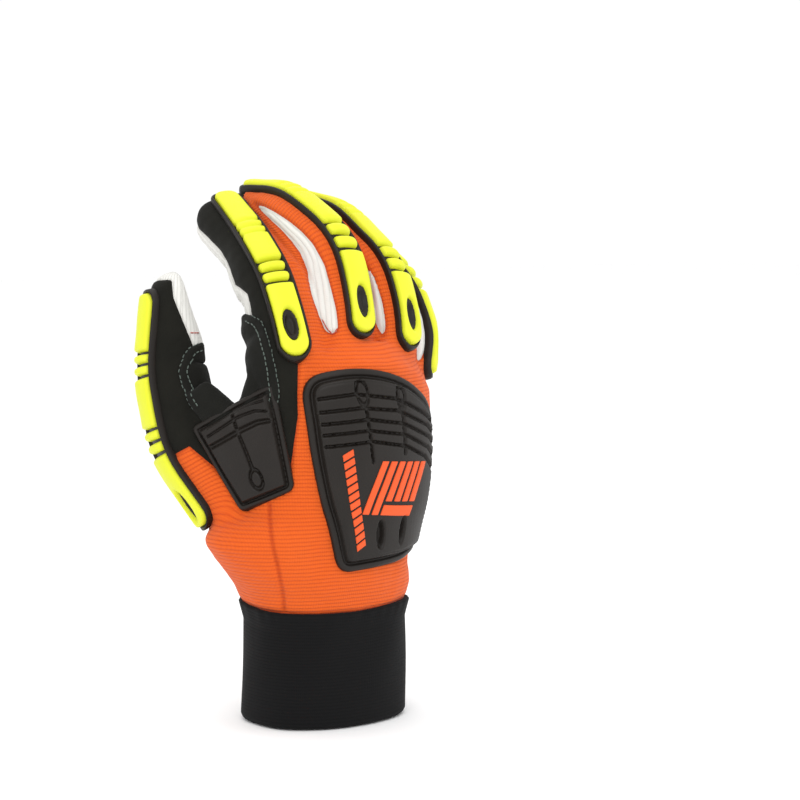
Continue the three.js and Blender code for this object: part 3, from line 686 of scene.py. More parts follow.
def side_panel_field(points, places):
    """Positive on the side panel: a wedge along index and thumb between two angles, joined by the web's
    outline."""
    dark = np.full(len(points), OFF_PANEL)
    for name, (side, start, upper, lower_angles, lower_at, tip_cover) in SIDE_WEDGES.items():
        s, w, n, gap = places[name]
        length = DIGITS[name]["length"]
        outward = w * side
        high, low = np.radians(upper), np.radians(np.interp(s, lower_at, lower_angles))
        over = outward * np.sin(high) - n * np.cos(high)
        under = n * np.cos(low) - outward * np.sin(low)
        if name == "index":
            over = np.maximum(over, s - length + tip_cover)
        else:
            over = np.maximum(over, s - length + THUMB_PANEL_TOP)
            over = np.minimum(over, length - tip_cover - s)
        field = np.minimum(np.minimum(over, under), s - start) - np.maximum(gap - 1.5, 0) * 2
        dark = np.maximum(dark, field)
    flat, depth = in_view_plane(points)
    return np.maximum(dark, np.minimum(rounded_distance(flat, WEB_OUTLINE, WEB_ROUND), WEB_DEPTH - depth))


def with_gussets(points, places, back):
    """The back's field with a white band cut out between each two neighbours, and the back closed below
    it."""
    seen = seen_place(points)
    for one, other, low_end in GUSSETS:
        s, _, n, gap = places[one]
        _, _, n_other, gap_other = places[other]
        between = (gap + gap_other < GUSSET_REACH) & (np.maximum(n, n_other) > -1)
        rise = points[:, 2] - low_end
        if one in SEEN_LINES:
            band = seen_band(seen, SEEN_LINES[one])
            in_front = np.maximum(n, n_other) > 2
        else:
            high_end, width, shift = NARROW_GUSSETS[one]
            low_taper, high_taper = rise / GUSSET_TAPERS[0], (high_end - s) / GUSSET_TAPERS[1]
            taper = np.sqrt(np.clip(low_taper, 0, 1) * np.clip(high_taper, 0, 1))
            band = np.abs(gap - gap_other - shift) - width * taper + 0.3 * (taper == 0)
            in_front = np.minimum(n, n_other) > 0
        above = np.where(in_front, band, np.minimum(back, band))
        back = np.where(between, np.where(rise > 0, above, np.maximum(back, -rise)), back)
    return back


def pattern_place(points, palm_gap, parts):
    """Millimetres along and across the hand: the digits' own numbers, blended into plain height and x on
    the palm."""
    gaps = np.stack([part[0] for part in parts])
    shares = np.exp(-np.minimum(gaps / 1.0, 60)) + 1e-30
    shares /= shares.sum(0)
    digit_share, along, across = (
        sum(share * part[k] for share, part in zip(shares, parts)) for k in (1, 2, 3)
    )
    digit_share = digit_share * (np.exp(-np.minimum(gaps.min(0) / PATTERN_BLEND, 30)) + 1e-9)
    palm_share = np.exp(-np.minimum(palm_gap / PATTERN_BLEND, 30)) + 1e-9
    mix = digit_share / (digit_share + palm_share)
    return along * mix + points[:, 2] * (1 - mix), across * mix + points[:, 0] * (1 - mix)


def seam_fields(points):
    """Two fields in millimetres: back is positive on the back's cloth, dark is positive on the side panel.
    With them come the pattern's place along and across, and each point's place on every digit."""
    _, py, palm_gap = on_palm(points)
    beside = np.interp(points[:, 2], THUMB_SIDE_SEAM[:, 0], THUMB_SIDE_SEAM[:, 1]) - points[:, 0]
    back_parts = [(palm_gap, np.maximum(PALM_SEAM - py, beside))]
    pattern_parts = []
    places = {name: on_digit(points, digit) for name, digit in DIGITS.items()}
    for name, (s, w, n, gap) in places.items():
        back_parts.append((gap, n - seam_level(name, DIGITS[name], s, w)))
        pattern_parts.append((gap, *digit_pattern(DIGITS[name], s, w, n)))
    back = with_gussets(points, places, blended(back_parts))
    along, across = pattern_place(points, palm_gap, pattern_parts)
    return back, side_panel_field(points, places), along, across, places


back_field, dark_field, along_field, across_field, places = seam_fields(skin_points)
near_seam = np.clip(back_field, -6, 6)[:, None]
back_field = smoothed(near_seam, skin_edges, len(skin_points), SEAM_ROUNDS)[:, 0]
for label, field in (("back", back_field), ("dark", dark_field)):
    print("share of the skin on", label, round(float((field > 0).mean()), 2))

# %% [markdown]
# ## Folds in the cloth
#
# Cloth creases on the inside of every joint and puffs out where it is sewn to the tighter cuff. Each fold
# is a line with a width and a height, and the skin moves along its normal by a bell curve of the distance
# to the line. A simulation would also fold the cloth, but not at the places where this glove is creased.

# %% Fold tables and displacement
# Columns: x, y, z of one end, x, y, z of the other end, width, height
FOLD_ROWS = np.array([
    (16, -30, 68.5, 38, -16, 74, 2.2, -1.6),
    (22, -29, 64, 40, -14, 63.5, 2.6, 1.5),
    (14, -30, 60, 34, -22, 57, 1.8, -1.0),
    (8, -30, 66, 24, -27, 63, 2.0, -0.6),
    (-44, -8, 74, -20, -27, 70, 3.0, -0.5),
    (-30, -22, 66, -14, -30, 63, 3.0, -0.5),
    (-24, 24, 112, 6, 12, 100, 2.6, -1.4),
    (-12, 22, 132, 34, 14, 128, 2.8, -1.2),
    (10, 20, 96, 46, 12, 108, 3.0, -1.2),
    (-6, 24, 78, 20, 26, 74, 3.4, -1.0),
])
JOINT_CREASE_WIDTH = 1.5
JOINT_CREASE_DEPTH = 1.3
BETWEEN_FINGERS = 1.8  # how much deeper the cloth goes in where two fingers press together
FINGER_ORDER = ("index", "middle", "ring", "little")
CUFF_PUFF = 1.3  # how far the shell swells over the top of the cuff


def segment_distance(points, start, end):
    """Distance from each point to a straight line piece."""
    along = end - start
    share = np.clip((points - start) @ along / (along @ along), 0, 1)
    return np.linalg.norm(points - start - share[:, None] * along, axis=1)


def fold_height(points, places):
    """Sum of bell curves round the fold lines, round the digits' inner creases and round the swelling over
    the cuff, plus a slow unevenness made of a few crossing waves."""
    total = np.zeros(len(points))
    for row in FOLD_ROWS:
        width, height = row[6:]
        total += height * np.exp(-((segment_distance(points, row[0:3], row[3:6]) / width) ** 2))
    for name, digit in DIGITS.items():
        s, w, n, gap = places[name]
        inner = smooth_step((-n - 1) / 6) * np.exp(-(gap / 3) ** 2)
        for joint in (2.0, digit["joints"][1] - 1, digit["joints"][1] + 3.5, digit["joints"][2] + 1):
            along = (s - joint - 0.15 * w) / JOINT_CREASE_WIDTH
            total -= JOINT_CREASE_DEPTH * inner * np.exp(-(along ** 2))
    for one, other in zip(FINGER_ORDER[:-1], FINGER_ORDER[1:]):
        level = np.minimum(places[one][0], places[other][0])
        apart = places[one][3] - places[other][3]
        close = np.exp(-(((places[one][3] + places[other][3]) / 6) ** 2)) * smooth_step((level - 12) / 10)
        total -= BETWEEN_FINGERS * close * np.exp(-((apart / 1.5) ** 2))
    x, y, z = points.T
    total += CUFF_PUFF * np.exp(-(((z - 65) / 6.5) ** 2))
    total += 0.16 * np.sin(x * 0.31 + z * 0.17) * np.sin(y * 0.27 - z * 0.23 + 1)
    total += 0.09 * np.sin(x * 0.61 - z * 0.53) * np.sin(y * 0.71 + z * 0.37)
    return total


skin_normals = normals_of(skin_points, skin_tris)
skin_points = skin_points + skin_normals * fold_height(skin_points, places)[:, None]
skin_normals = smoothed(normals_of(skin_points, skin_tris), skin_edges, len(skin_points), 2)
skin_tree = BVHTree.FromPolygons(skin_points.tolist(), skin_tris.tolist())
print("folds:", len(FOLD_ROWS), "box:", skin_points.min(0).round(1), skin_points.max(0).round(1))

# %% [markdown]
# ## Cutting the cloths
#
# The skin is cut where a seam field is zero, triangle by triangle, so a seam is a smooth line and not a
# staircase. Each cloth then gets a thickness and turns in at its edges, which leaves the narrow valley of a
# sewn seam.

# %% Cutting and thickening helpers
def clipped(values, tris, field):
    """Keeps the part of a mesh where the field is positive. Each crossed edge gets one vertex where the
    field is 0 and each crossed triangle is rebuilt from what stays. values has one row per vertex, place
    first."""
    inside = field > 0
    count = inside[tris].sum(1)
    crossed = (count == 1) | (count == 2)
    cut = tris[crossed]
    lone_stays = count[crossed] == 1
    mask = inside[cut]
    odd = np.where(lone_stays, np.argmax(mask, 1), np.argmin(mask, 1))
    a, b, c = np.take_along_axis(cut, (odd[:, None] + np.arange(3)) % 3, 1).T
    pairs = np.sort(np.vstack([np.stack([a, b], 1), np.stack([a, c], 1)]), 1)
    single, back = np.unique(pairs, axis=0, return_inverse=True)
    f0, f1 = field[single[:, 0]], field[single[:, 1]]
    share = (f0 / (f0 - f1))[:, None]
    fresh = values[single[:, 0]] * (1 - share) + values[single[:, 1]] * share
    back = back.ravel() + len(values)
    ab, ac = back[:len(a)], back[len(a):]
    one = np.stack([a, ab, ac], 1)[lone_stays]
    two = np.vstack([np.stack([ab, b, c], 1)[~lone_stays], np.stack([ab, c, ac], 1)[~lone_stays]])
    kept = np.vstack([tris[count == 3], one, two])
    used, packed = np.unique(kept, return_inverse=True)
    return np.vstack([values, fresh])[used], packed.reshape(-1, 3)


def closed_sheet(top, bottom, tris):
    """A closed body from a sheet: the top, the same triangles turned round for the bottom, and a wall of
    two triangles along each edge that only one triangle uses."""
    directed = np.vstack([tris[:, [0, 1]], tris[:, [1, 2]], tris[:, [2, 0]]])
    key = directed.min(1).astype(np.int64) * len(top) + directed.max(1)
    _, first, count = np.unique(key, return_index=True, return_counts=True)
    a, b = directed[first[count == 1]].T
    n = len(top)
    walls = np.vstack([np.stack([b, a, a + n], 1), np.stack([b, a + n, b + n], 1)])
    return np.vstack([top, bottom]), np.vstack([tris, tris[:, ::-1] + n, walls])


def main_bodies(tris, count, least=400):
    """The triangles of a mesh's connected parts that have at least so many. Parts are found by passing the
    smallest label to neighbours."""
    label = np.arange(count)
    edges = edges_of(tris)
    while True:
        low = np.minimum(label[edges[:, 0]], label[edges[:, 1]])
        fresh = label.copy()
        np.minimum.at(fresh, edges[:, 0], low)
        np.minimum.at(fresh, edges[:, 1], low)
        fresh = fresh[fresh]
        if (fresh == label).all():
            break
        label = fresh
    sizes = np.bincount(label[tris[:, 0]], minlength=count)
    return tris[sizes[label[tris[:, 0]]] >= least]


# %% Piece maker
SHARP_ANGLE = np.radians(50)
made = {}


def make_piece(name, points, tris, finish, nodes, slot, uv=None, seam=None, sharp=SHARP_ANGLE):
    """Puts arrays into a mesh with its UV map and seam distance, gives it a finish and ties it to the
    frame."""
    item = new_mesh_object(name, points, tris)
    mesh = item.data
    if uv is not None:
        layer = mesh.uv_layers.new(name="cloth")
        layer.data.foreach_set("uv", uv[tris.ravel()].astype(np.float32).ravel())
    if seam is not None:
        attribute = mesh.attributes.new("seam", "FLOAT", "POINT")
        attribute.data.foreach_set("value", seam.astype(np.float32))
    mesh.set_sharp_from_angle(angle=sharp)
    mesh.materials.append(FINISHES[finish])
    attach(item, "root")
    if nodes:
        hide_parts(*nodes)
    made[name] = len(tris)
    return item

# %% [markdown]
# ## Finishes
#
# The back is a ribbed stretch knit, the palm a corded canvas, the side panel and the crotch a dark suede,
# the cuff a fine knit. Guards are moulded rubber. Patterns follow the cloth, so they read the UV map, whose
# numbers are millimetres across and along the hand. Ribs, grain and seam shade are shared node groups with
# their own sockets.

# %% Node helpers
def node_group(name, inputs, outputs):
    """A shader group with named sockets: inputs as (label, default) and outputs as labels, all plain
    numbers."""
    tree = bpy.data.node_groups.new(name, "ShaderNodeTree")
    for label, value in inputs:
        socket = tree.interface.new_socket(name=label, in_out="INPUT", socket_type="NodeSocketFloat")
        socket.default_value = value
    for label in outputs:
        tree.interface.new_socket(name=label, in_out="OUTPUT", socket_type="NodeSocketFloat")
    return tree, tree.nodes.new("NodeGroupInput"), tree.nodes.new("NodeGroupOutput")


def math_node(tree, operation, *values):
    """A Math node whose inputs are numbers or sockets. Returns its output."""
    node = tree.nodes.new("ShaderNodeMath")
    node.operation = operation
    for socket, value in zip(node.inputs, values):
        if isinstance(value, (int, float)):
            socket.default_value = value
        else:
            tree.links.new(value, socket)
    return node.outputs[0]


def color_mix(tree, factor, first, second):
    """A colour between two, each a colour or a socket."""
    node = tree.nodes.new("ShaderNodeMix")
    node.data_type = "RGBA"
    node.clamp_factor = True
    for socket, value in zip((node.inputs[0], node.inputs[6], node.inputs[7]), (factor, first, second)):
        if isinstance(value, (int, float)):
            socket.default_value = value
        elif isinstance(value, tuple):
            socket.default_value = (*value, 1)
        else:
            tree.links.new(value, socket)
    return node.outputs[2]


def added(tree, first, second, share):
    """The first value plus a share of the second."""
    return math_node(tree, "ADD", first, math_node(tree, "MULTIPLY", second, share))


def tinted(tree, tone, amount, share, color):
    """A tone moved towards a colour by a share of an amount."""
    return color_mix(tree, math_node(tree, "MULTIPLY", amount, share), tone, color)


def linear(color):
    """Linear light of an sRGB colour given as 0 to 255."""
    share = np.array(color) / 255
    return tuple(np.where(share <= 0.04045, share / 12.92, ((share + 0.055) / 1.055) ** 2.4).tolist())


# %% Shared effects
def make_rib_group():
    """Height is |sin(pi * place / pitch)| to a power, so ribs are round and the gaps between them
    narrow."""
    tree, given, result = node_group(
        "ribs", [("Place", 0.0), ("Pitch", 1.6), ("Power", 0.5)], ["Height", "Gap"]
    )
    turns = math_node(tree, "DIVIDE", given.outputs["Place"], given.outputs["Pitch"])
    angle = math_node(tree, "MULTIPLY", turns, float(np.pi))
    wave = math_node(tree, "ABSOLUTE", math_node(tree, "SINE", angle))
    height = math_node(tree, "POWER", wave, given.outputs["Power"])
    tree.links.new(height, result.inputs["Height"])
    # Gap is 1 where the ribs part; the finishes darken their colour by it as painted shade in the gaps.
    tree.links.new(math_node(tree, "SUBTRACT", 1.0, height), result.inputs["Gap"])
    return tree


def make_grain_group():
    """Fine and coarse noise on Object coordinates, in grains per millimetre."""
    tree, given, result = node_group("grain", [("Fine", 2.0), ("Coarse", 0.08)], ["Fine", "Coarse"])
    place = tree.nodes.new("ShaderNodeTexCoord").outputs["Object"]
    for label, detail in (("Fine", 3.0), ("Coarse", 4.0)):
        node = tree.nodes.new("ShaderNodeTexNoise")
        node.inputs["Detail"].default_value = detail
        tree.links.new(place, node.inputs["Vector"])
        tree.links.new(math_node(tree, "MULTIPLY", given.outputs[label], 1000.0), node.inputs["Scale"])
        tree.links.new(node.outputs["Fac"], result.inputs[label])
    return tree


def make_seam_group():
    """Shade is 1 at a seam and falls to 0 over the given width, from the seam distance stored on the
    mesh."""
    tree, given, result = node_group("seam_shade", [("Width", 1.2)], ["Shade"])
    stored = tree.nodes.new("ShaderNodeAttribute")
    stored.attribute_name = "seam"
    share = math_node(tree, "DIVIDE", stored.outputs["Fac"], given.outputs["Width"])
    clear = math_node(tree, "MINIMUM", math_node(tree, "MAXIMUM", share, 0.0), 1.0)
    tree.links.new(math_node(tree, "SUBTRACT", 1.0, clear), result.inputs["Shade"])
    return tree


GROUPS = {"ribs": make_rib_group(), "grain": make_grain_group(), "seam": make_seam_group()}


def placed_group(tree, label, **values):
    """A shared group in a material's tree, with its inputs set to numbers or linked."""
    node = tree.nodes.new("ShaderNodeGroup")
    node.node_tree = GROUPS[label]
    for name, value in values.items():
        if isinstance(value, (int, float)):
            node.inputs[name].default_value = value
        else:
            tree.links.new(value, node.inputs[name])
    return node.outputs


def new_finish(name, roughness, sheen=0.0, specular=0.3):
    """A material with its Principled shader, and its tree."""
    material = bpy.data.materials.new(name)
    material.use_nodes = True
    tree = material.node_tree
    shader = tree.nodes["Principled BSDF"]
    shader.inputs["Roughness"].default_value = roughness
    shader.inputs["Sheen Weight"].default_value = sheen
    shader.inputs["Specular IOR Level"].default_value = specular
    return material, tree, shader


def set_bump(tree, shader, height, depth):
    """Bump of a height between 0 and 1 that stands for a depth in millimetres."""
    bump = tree.nodes.new("ShaderNodeBump")
    bump.inputs["Strength"].default_value = 1.0
    bump.inputs["Distance"].default_value = depth * MM
    tree.links.new(height, bump.inputs["Height"])
    tree.links.new(bump.outputs["Normal"], shader.inputs["Normal"])


def cloth_place(tree):
    """The UV map's millimetres across and along the hand."""
    uv = tree.nodes.new("ShaderNodeUVMap")
    uv.uv_map = "cloth"
    split = tree.nodes.new("ShaderNodeSeparateXYZ")
    tree.links.new(uv.outputs["UV"], split.inputs[0])
    return split.outputs["X"], split.outputs["Y"]


# %% Cloth finishes
RIB_PITCH = 1.6
CORD_PITCH = 2.3


def orange_knit():
    """Stretch knit: level ribs, fine columns of loops across them, and painted shade in every gap."""
    material, tree, shader = new_finish("orange_knit", 0.85, sheen=0.1, specular=0.2)
    across, along = cloth_place(tree)
    grain = placed_group(tree, "grain", Fine=1.6, Coarse=0.05)
    wander = math_node(tree, "MULTIPLY", grain["Coarse"], 1.2)
    ribs = placed_group(tree, "ribs", Place=math_node(tree, "ADD", along, wander), Pitch=RIB_PITCH, Power=0.6)
    loops = placed_group(tree, "ribs", Place=across, Pitch=0.95, Power=0.7)
    seam = placed_group(tree, "seam", Width=1.4)
    height = added(tree, ribs["Height"], loops["Height"], 0.3)
    height = added(tree, height, grain["Fine"], 0.35)
    bright, deep = linear((220, 92, 24)), linear((192, 60, 12))
    # Painted shade: the orange darkens towards a deeper tone in the gaps between ribs and between loops.
    tone = tinted(tree, bright, ribs["Gap"], 0.7, deep)
    tone = tinted(tree, tone, loops["Gap"], 0.25, deep)
    tone = tinted(tree, tone, grain["Coarse"], 0.25, linear((228, 108, 42)))
    tone = tinted(tree, tone, seam["Shade"], 0.6, linear((158, 42, 8)))
    tree.links.new(tone, shader.inputs["Base Color"])
    set_bump(tree, shader, height, 0.28)
    return material


def corded_canvas():
    """Off-white cords along the hand with a painted grey shade in every gap, worn unevenly."""
    material, tree, shader = new_finish("corded_canvas", 0.9, sheen=0.15, specular=0.2)
    across, along = cloth_place(tree)
    grain = placed_group(tree, "grain", Fine=1.1, Coarse=0.06)
    wander = math_node(tree, "MULTIPLY", grain["Coarse"], 1.4)
    place = math_node(tree, "ADD", across, wander)
    cords = placed_group(tree, "ribs", Place=place, Pitch=CORD_PITCH, Power=0.45)
    threads = placed_group(tree, "ribs", Place=along, Pitch=0.8, Power=0.8)
    seam = placed_group(tree, "seam", Width=1.3)
    height = added(tree, cords["Height"], threads["Height"], 0.12)
    height = added(tree, height, grain["Fine"], 0.3)
    # Painted shade: the canvas turns grey in the gaps between the cords.
    tone = tinted(tree, linear((226, 225, 220)), cords["Gap"], 0.42, linear((178, 176, 170)))
    tone = tinted(tree, tone, grain["Coarse"], 0.35, linear((206, 204, 198)))
    tone = tinted(tree, tone, seam["Shade"], 0.45, linear((150, 146, 140)))
    tree.links.new(tone, shader.inputs["Base Color"])
    set_bump(tree, shader, height, 0.2)
    return material


def dark_suede(name, tone_low, tone_high, nap):
    """Napped dark cloth: soft mottling and a fine short nap."""
    material, tree, shader = new_finish(name, 0.9, sheen=0.04, specular=0.1)
    grain = placed_group(tree, "grain", Fine=2.6, Coarse=0.12)
    tone = color_mix(tree, grain["Coarse"], linear(tone_low), linear(tone_high))
    tone = tinted(tree, tone, grain["Fine"], 0.3, linear((44, 44, 40)))
    tree.links.new(tone, shader.inputs["Base Color"])
    set_bump(tree, shader, grain["Fine"], nap)
    return material


def cuff_knit():
    """Level rows of stitches with fine upright columns across them, and painted shade between the rows."""
    material, tree, shader = new_finish("dark_knit", 0.9, sheen=0.03, specular=0.1)
    across, along = cloth_place(tree)
    grain = placed_group(tree, "grain", Fine=1.8, Coarse=0.05)
    columns = placed_group(tree, "ribs", Place=across, Pitch=0.9, Power=0.6)
    rows = placed_group(tree, "ribs", Place=along, Pitch=1.45, Power=0.8)
    height = added(tree, rows["Height"], columns["Height"], 0.4)
    height = added(tree, height, grain["Fine"], 0.4)
    # Painted shade: the knit is darker in the gaps between the rows.
    tone = color_mix(tree, rows["Gap"], linear((19, 19, 20)), linear((14, 14, 15)))
    tone = tinted(tree, tone, grain["Coarse"], 0.4, linear((24, 24, 24)))
    tree.links.new(tone, shader.inputs["Base Color"])
    set_bump(tree, shader, height, 0.1)
    return material


# %% Rubber and thread finishes
def rubber(name, low, high, dust, roughness, nap, specular=0.25):
    """Moulded rubber: slight mottling, a fine matte skin and uneven gloss."""
    material, tree, shader = new_finish(name, roughness, specular=specular)
    grain = placed_group(tree, "grain", Fine=1.5, Coarse=0.07)
    tone = color_mix(tree, grain["Coarse"], linear(low), linear(high))
    tone = tinted(tree, tone, grain["Fine"], 0.12, linear(dust))
    tree.links.new(tone, shader.inputs["Base Color"])
    gloss = math_node(tree, "ADD", roughness - 0.08, math_node(tree, "MULTIPLY", grain["Coarse"], 0.16))
    tree.links.new(gloss, shader.inputs["Roughness"])
    set_bump(tree, shader, grain["Fine"], nap)
    return material


def thread(name, low, high):
    """Twisted thread: fine bands of light and shade."""
    material, tree, shader = new_finish(name, 0.7, sheen=0.2, specular=0.3)
    grain = placed_group(tree, "grain", Fine=3.2, Coarse=0.4)
    tree.links.new(color_mix(tree, grain["Fine"], linear(low), linear(high)), shader.inputs["Base Color"])
    set_bump(tree, shader, grain["Fine"], 0.08)
    return material


FINISHES = {
    "orange_knit": orange_knit(),
    "corded_canvas": corded_canvas(),
    "dark_suede": dark_suede("dark_suede", (14, 14, 11), (27, 26, 21), 0.10),
    "patch_suede": dark_suede("patch_suede", (14, 14, 12), (27, 27, 24), 0.12),
    "dark_knit": cuff_knit(),
    "dark_rubber": rubber("dark_rubber", (21, 17, 14), (33, 28, 24), (50, 46, 41), 0.46, 0.05),
    "lime_rubber": rubber("lime_rubber", (214, 220, 42), (226, 230, 54), (204, 210, 38), 0.5, 0.04),
    "print_rubber": rubber("print_rubber", (222, 84, 36), (232, 94, 44), (206, 74, 28), 0.5, 0.04),
    "red_thread": thread("red_thread", (150, 44, 34), (196, 76, 58)),
    "grey_thread": thread("grey_thread", (62, 73, 67), (98, 111, 102)),
}
print("finishes:", ", ".join(FINISHES))

# %% [markdown]
# ## The three cloths
#
# The back's knit, the canvas palm and the dark side panel share one skin, so their edges meet exactly. They
# end a little inside the cuff, where the real shell is sewn to it.

# %% Cloth panels
CUFF_TOP = 51.4
CUFF_DIP = 2.2  # how far the cuff's sewn edge sags at the front and the back
CUFF_SLANT = -0.022  # how the edge falls towards the little finger's side
TUCK = 2.5  # how far the shell reaches down inside the cuff
CLOTH_THICKNESS = 1.2
SEAM_VALLEY = 0.75
SEAM_WIDTH = 1.1


def cuff_top(x, y):
    """Height of the cuff's sewn edge: lowest in front and behind, highest at both sides."""
    angle = np.arctan2(y, x)
    return CUFF_TOP + CUFF_SLANT * x - CUFF_DIP * (1 - np.cos(angle - azimuth) ** 4)


# The seam that closes the back's knit, in the upright plane that faces the viewer
# Columns: z, across
BACK_SEAM = np.array([(96, -21.6), (92, -21.5), (80, -19.7), (69.5, -17.5), (60, -16.1), (50, -15.6)])


def back_seam_distance(points):
    """Distance to the back's closing seam where it is in front, below the guard at the thumb's root."""
    flat, depth = in_view_plane(points)
    line = np.interp(flat[:, 1], BACK_SEAM[::-1, 0], BACK_SEAM[::-1, 1])
    away = np.hypot(flat[:, 0] - line, np.maximum(flat[:, 1] - BACK_SEAM[0, 0], 0))
    return np.where(depth < -8, away, 40)


hem = skin_points[:, 2] - cuff_top(skin_points[:, 0], skin_points[:, 1]) + TUCK
seam_distance = np.minimum(np.where(dark_field > 0, dark_field, np.minimum(np.abs(back_field), -dark_field)),
                           np.maximum(hem - TUCK, 0))
seam_distance = np.minimum(seam_distance, back_seam_distance(skin_points))
valley = SEAM_VALLEY * np.exp(-(seam_distance / SEAM_WIDTH) ** 2)
sheet_points = skin_points - skin_normals * valley[:, None]
sheet = np.column_stack([sheet_points, skin_normals, back_field, dark_field, hem, across_field, along_field,
                         seam_distance])
PLACE, NORMAL, BACK, DARK, HEM, UV, SEAM = (slice(0, 3), slice(3, 6), 6, 7, 8, slice(9, 11), 11)


def cloth_panel(name, fields, slot, node):
    """Cuts the skin down to where every field is positive, and thickens what is left inwards along its
    normals."""
    values, tris = sheet, skin_tris
    for column, sign in fields:
        values, tris = clipped(values, tris, sign * values[:, column])
    tris = main_bodies(tris, len(values))
    inner = values[:, PLACE] - values[:, NORMAL] * CLOTH_THICKNESS
    points, tris = closed_sheet(values[:, PLACE], inner, tris)
    uv = np.vstack([values[:, UV], values[:, UV]])
    seam = np.concatenate([values[:, SEAM], values[:, SEAM]])
    return make_piece(name, points, tris, slot, [node], slot, uv=uv, seam=seam)


cloth_panel("back_knit", [(HEM, 1), (DARK, -1), (BACK, 1)], "orange_knit", "back_panel")
cloth_panel("palm_canvas", [(HEM, 1), (DARK, -1), (BACK, -1)], "corded_canvas", "palm_panel")
cloth_panel("side_suede", [(HEM, 1), (DARK, 1)], "dark_suede", "side_panel")
print("panels:", made)

# %% [markdown]
# ## The cuff
#
# The cuff is a tube of fine knit, folded at its mouth so that the edge is round. Its section is a profile
# that goes up the outside, over the top edge and down the inside. A few slow waves keep it from looking
# turned on a lathe.

# %% Cuff
# Columns: z, half width, half depth
CUFF_ROWS = np.array([
    (0, 35.6, 27.8),
    (2.5, 36.6, 28.6),
    (20, 36.4, 28.4),
    (43, 35.9, 28.2),
    (52, 38.0, 29.8),
])
CUFF_WALL = 2.8
CUFF_UNROLLED = 34  # millimetres of pattern per radian
LIP = 1.4


def cuff_rings(columns=220):
    """Superellipse rings along a closed profile. t runs up the outer wall, over the top edge, down the
    inner wall and round the folded mouth. inset is how far the profile lies inside the outer wall."""
    outer = np.linspace(LIP, CUFF_TOP - 0.8, 46)
    turn = np.linspace(0, np.pi, 7)[1:-1]
    top_z, top_in = CUFF_TOP - 0.8 + 0.8 * np.sin(turn), CUFF_WALL / 2 * (1 - np.cos(turn))
    mouth = np.linspace(np.pi, 2 * np.pi, 11)[1:-1]
    mouth_z, mouth_in = LIP + LIP * np.sin(mouth), CUFF_WALL / 2 * (1 - np.cos(mouth))
    z = np.concatenate([outer, top_z, outer[::-1], mouth_z])
    inset = np.concatenate([0 * outer, top_in, 0 * outer + CUFF_WALL, mouth_in])
    angle = np.linspace(0, TURN, columns, endpoint=False)
    cx, cy = super_point(angle)
    wide = np.interp(z, CUFF_ROWS[:, 0], CUFF_ROWS[:, 1]) - inset
    deep = np.interp(z, CUFF_ROWS[:, 0], CUFF_ROWS[:, 2]) - inset
    rise = smooth_step(z / CUFF_TOP)[:, None]
    lift = (cuff_top(wide[:, None] * cx, deep[:, None] * cy) - CUFF_TOP) * rise ** 3
    wave = 0.35 * np.sin(3 * angle + z[:, None] * 0.07) + 0.22 * np.sin(7 * angle - z[:, None] * 0.11 + 1)
    gather = 0.14 * np.sin(34 * angle + 2 * np.sin(5 * angle)) * smooth_step((z[:, None] - CUFF_TOP + 9) / 9)
    swell = 1 + (wave - gather) / 35
    rings = np.stack([wide[:, None] * cx * swell, deep[:, None] * cy * swell, z[:, None] + lift], -1)
    uv = np.stack(np.broadcast_arrays(angle * CUFF_UNROLLED, z[:, None]), -1)
    return rings, uv


def wrapped_tris(rows, columns):
    """Triangles of a grid that is closed both ways."""
    i, j = np.arange(rows)[:, None], np.arange(columns)[None, :]
    a, b = i * columns + j, i * columns + (j + 1) % columns
    c, d = ((i + 1) % rows) * columns + (j + 1) % columns, ((i + 1) % rows) * columns + j
    return split_quads(np.stack([a, b, c, d], -1).reshape(-1, 4))


rings, ring_uv = cuff_rings()
cuff_points, cuff_tris = facing_out(rings.reshape(-1, 3), wrapped_tris(*rings.shape[:2]))
make_piece("cuff_knit", cuff_points, cuff_tris, "dark_knit", ["knit_cuff"], "dark_knit",
           uv=ring_uv.reshape(-1, 2))
print("cuff:", len(cuff_tris), "triangles")

# %% [markdown]
# ## Finger and thumb guards
#
# Each digit carries a dark rubber strip with a raised bead round its edge, and a lime bar inside the bead.
# The bar is cut through at the middle joint, where two short ribs let it bend, and grooved at the end
# joint. Both are height maps over a grid of distance along the digit and distance across it. Where the
# outline's signed distance is zero the grid is cut, so outlines stay smooth, and rays shot from inside the
# digit lay every point on the cloth.

# %% Laying a grid on the skin
def rays_to_skin(origins, directions, missing):
    """Distance from each origin to the skin along its direction, or the missing value."""
    flat_origins, flat_directions = origins.reshape(-1, 3), directions.reshape(-1, 3)
    hits = [skin_tree.ray_cast(Vector(o), Vector(d))[3] for o, d in zip(flat_origins, flat_directions)]
    return np.array([missing if hit is None else hit for hit in hits]).reshape(origins.shape[:-1])


def evened(field, rounds):
    """A grid averaged with its four neighbours, several rounds, its border copied outwards."""
    for _ in range(rounds):
        padded = np.pad(field, [(1, 1), (1, 1)] + [(0, 0)] * (field.ndim - 2), mode="edge")
        around = padded[:-2, 1:-1] + padded[2:, 1:-1] + padded[1:-1, :-2] + padded[1:-1, 2:]
        field = (field * 2 + around) / 6
    return field


def filled(field, known):
    """Carries known values of a grid into the unknown ones, from neighbour to neighbour."""
    field = np.where(known, field, np.median(field[known]))
    for _ in range(40):
        field = np.where(known, field, evened(field, 1))
    return field


def read_grid(field, low, step, u, v):
    """Bilinear reading of a grid field whose first point is at low and whose points are a step apart."""
    i = np.clip((u - low[0]) / step, 0, field.shape[0] - 1.001)
    j = np.clip((v - low[1]) / step, 0, field.shape[1] - 1.001)
    i0, j0 = i.astype(int), j.astype(int)
    fi, fj = i - i0, j - j0
    if field.ndim > 2:
        fi, fj = fi[..., None], fj[..., None]
    low_row = field[i0, j0] * (1 - fj) + field[i0, j0 + 1] * fj
    high_row = field[i0 + 1, j0] * (1 - fj) + field[i0 + 1, j0 + 1] * fj
    return low_row * (1 - fi) + high_row * fi


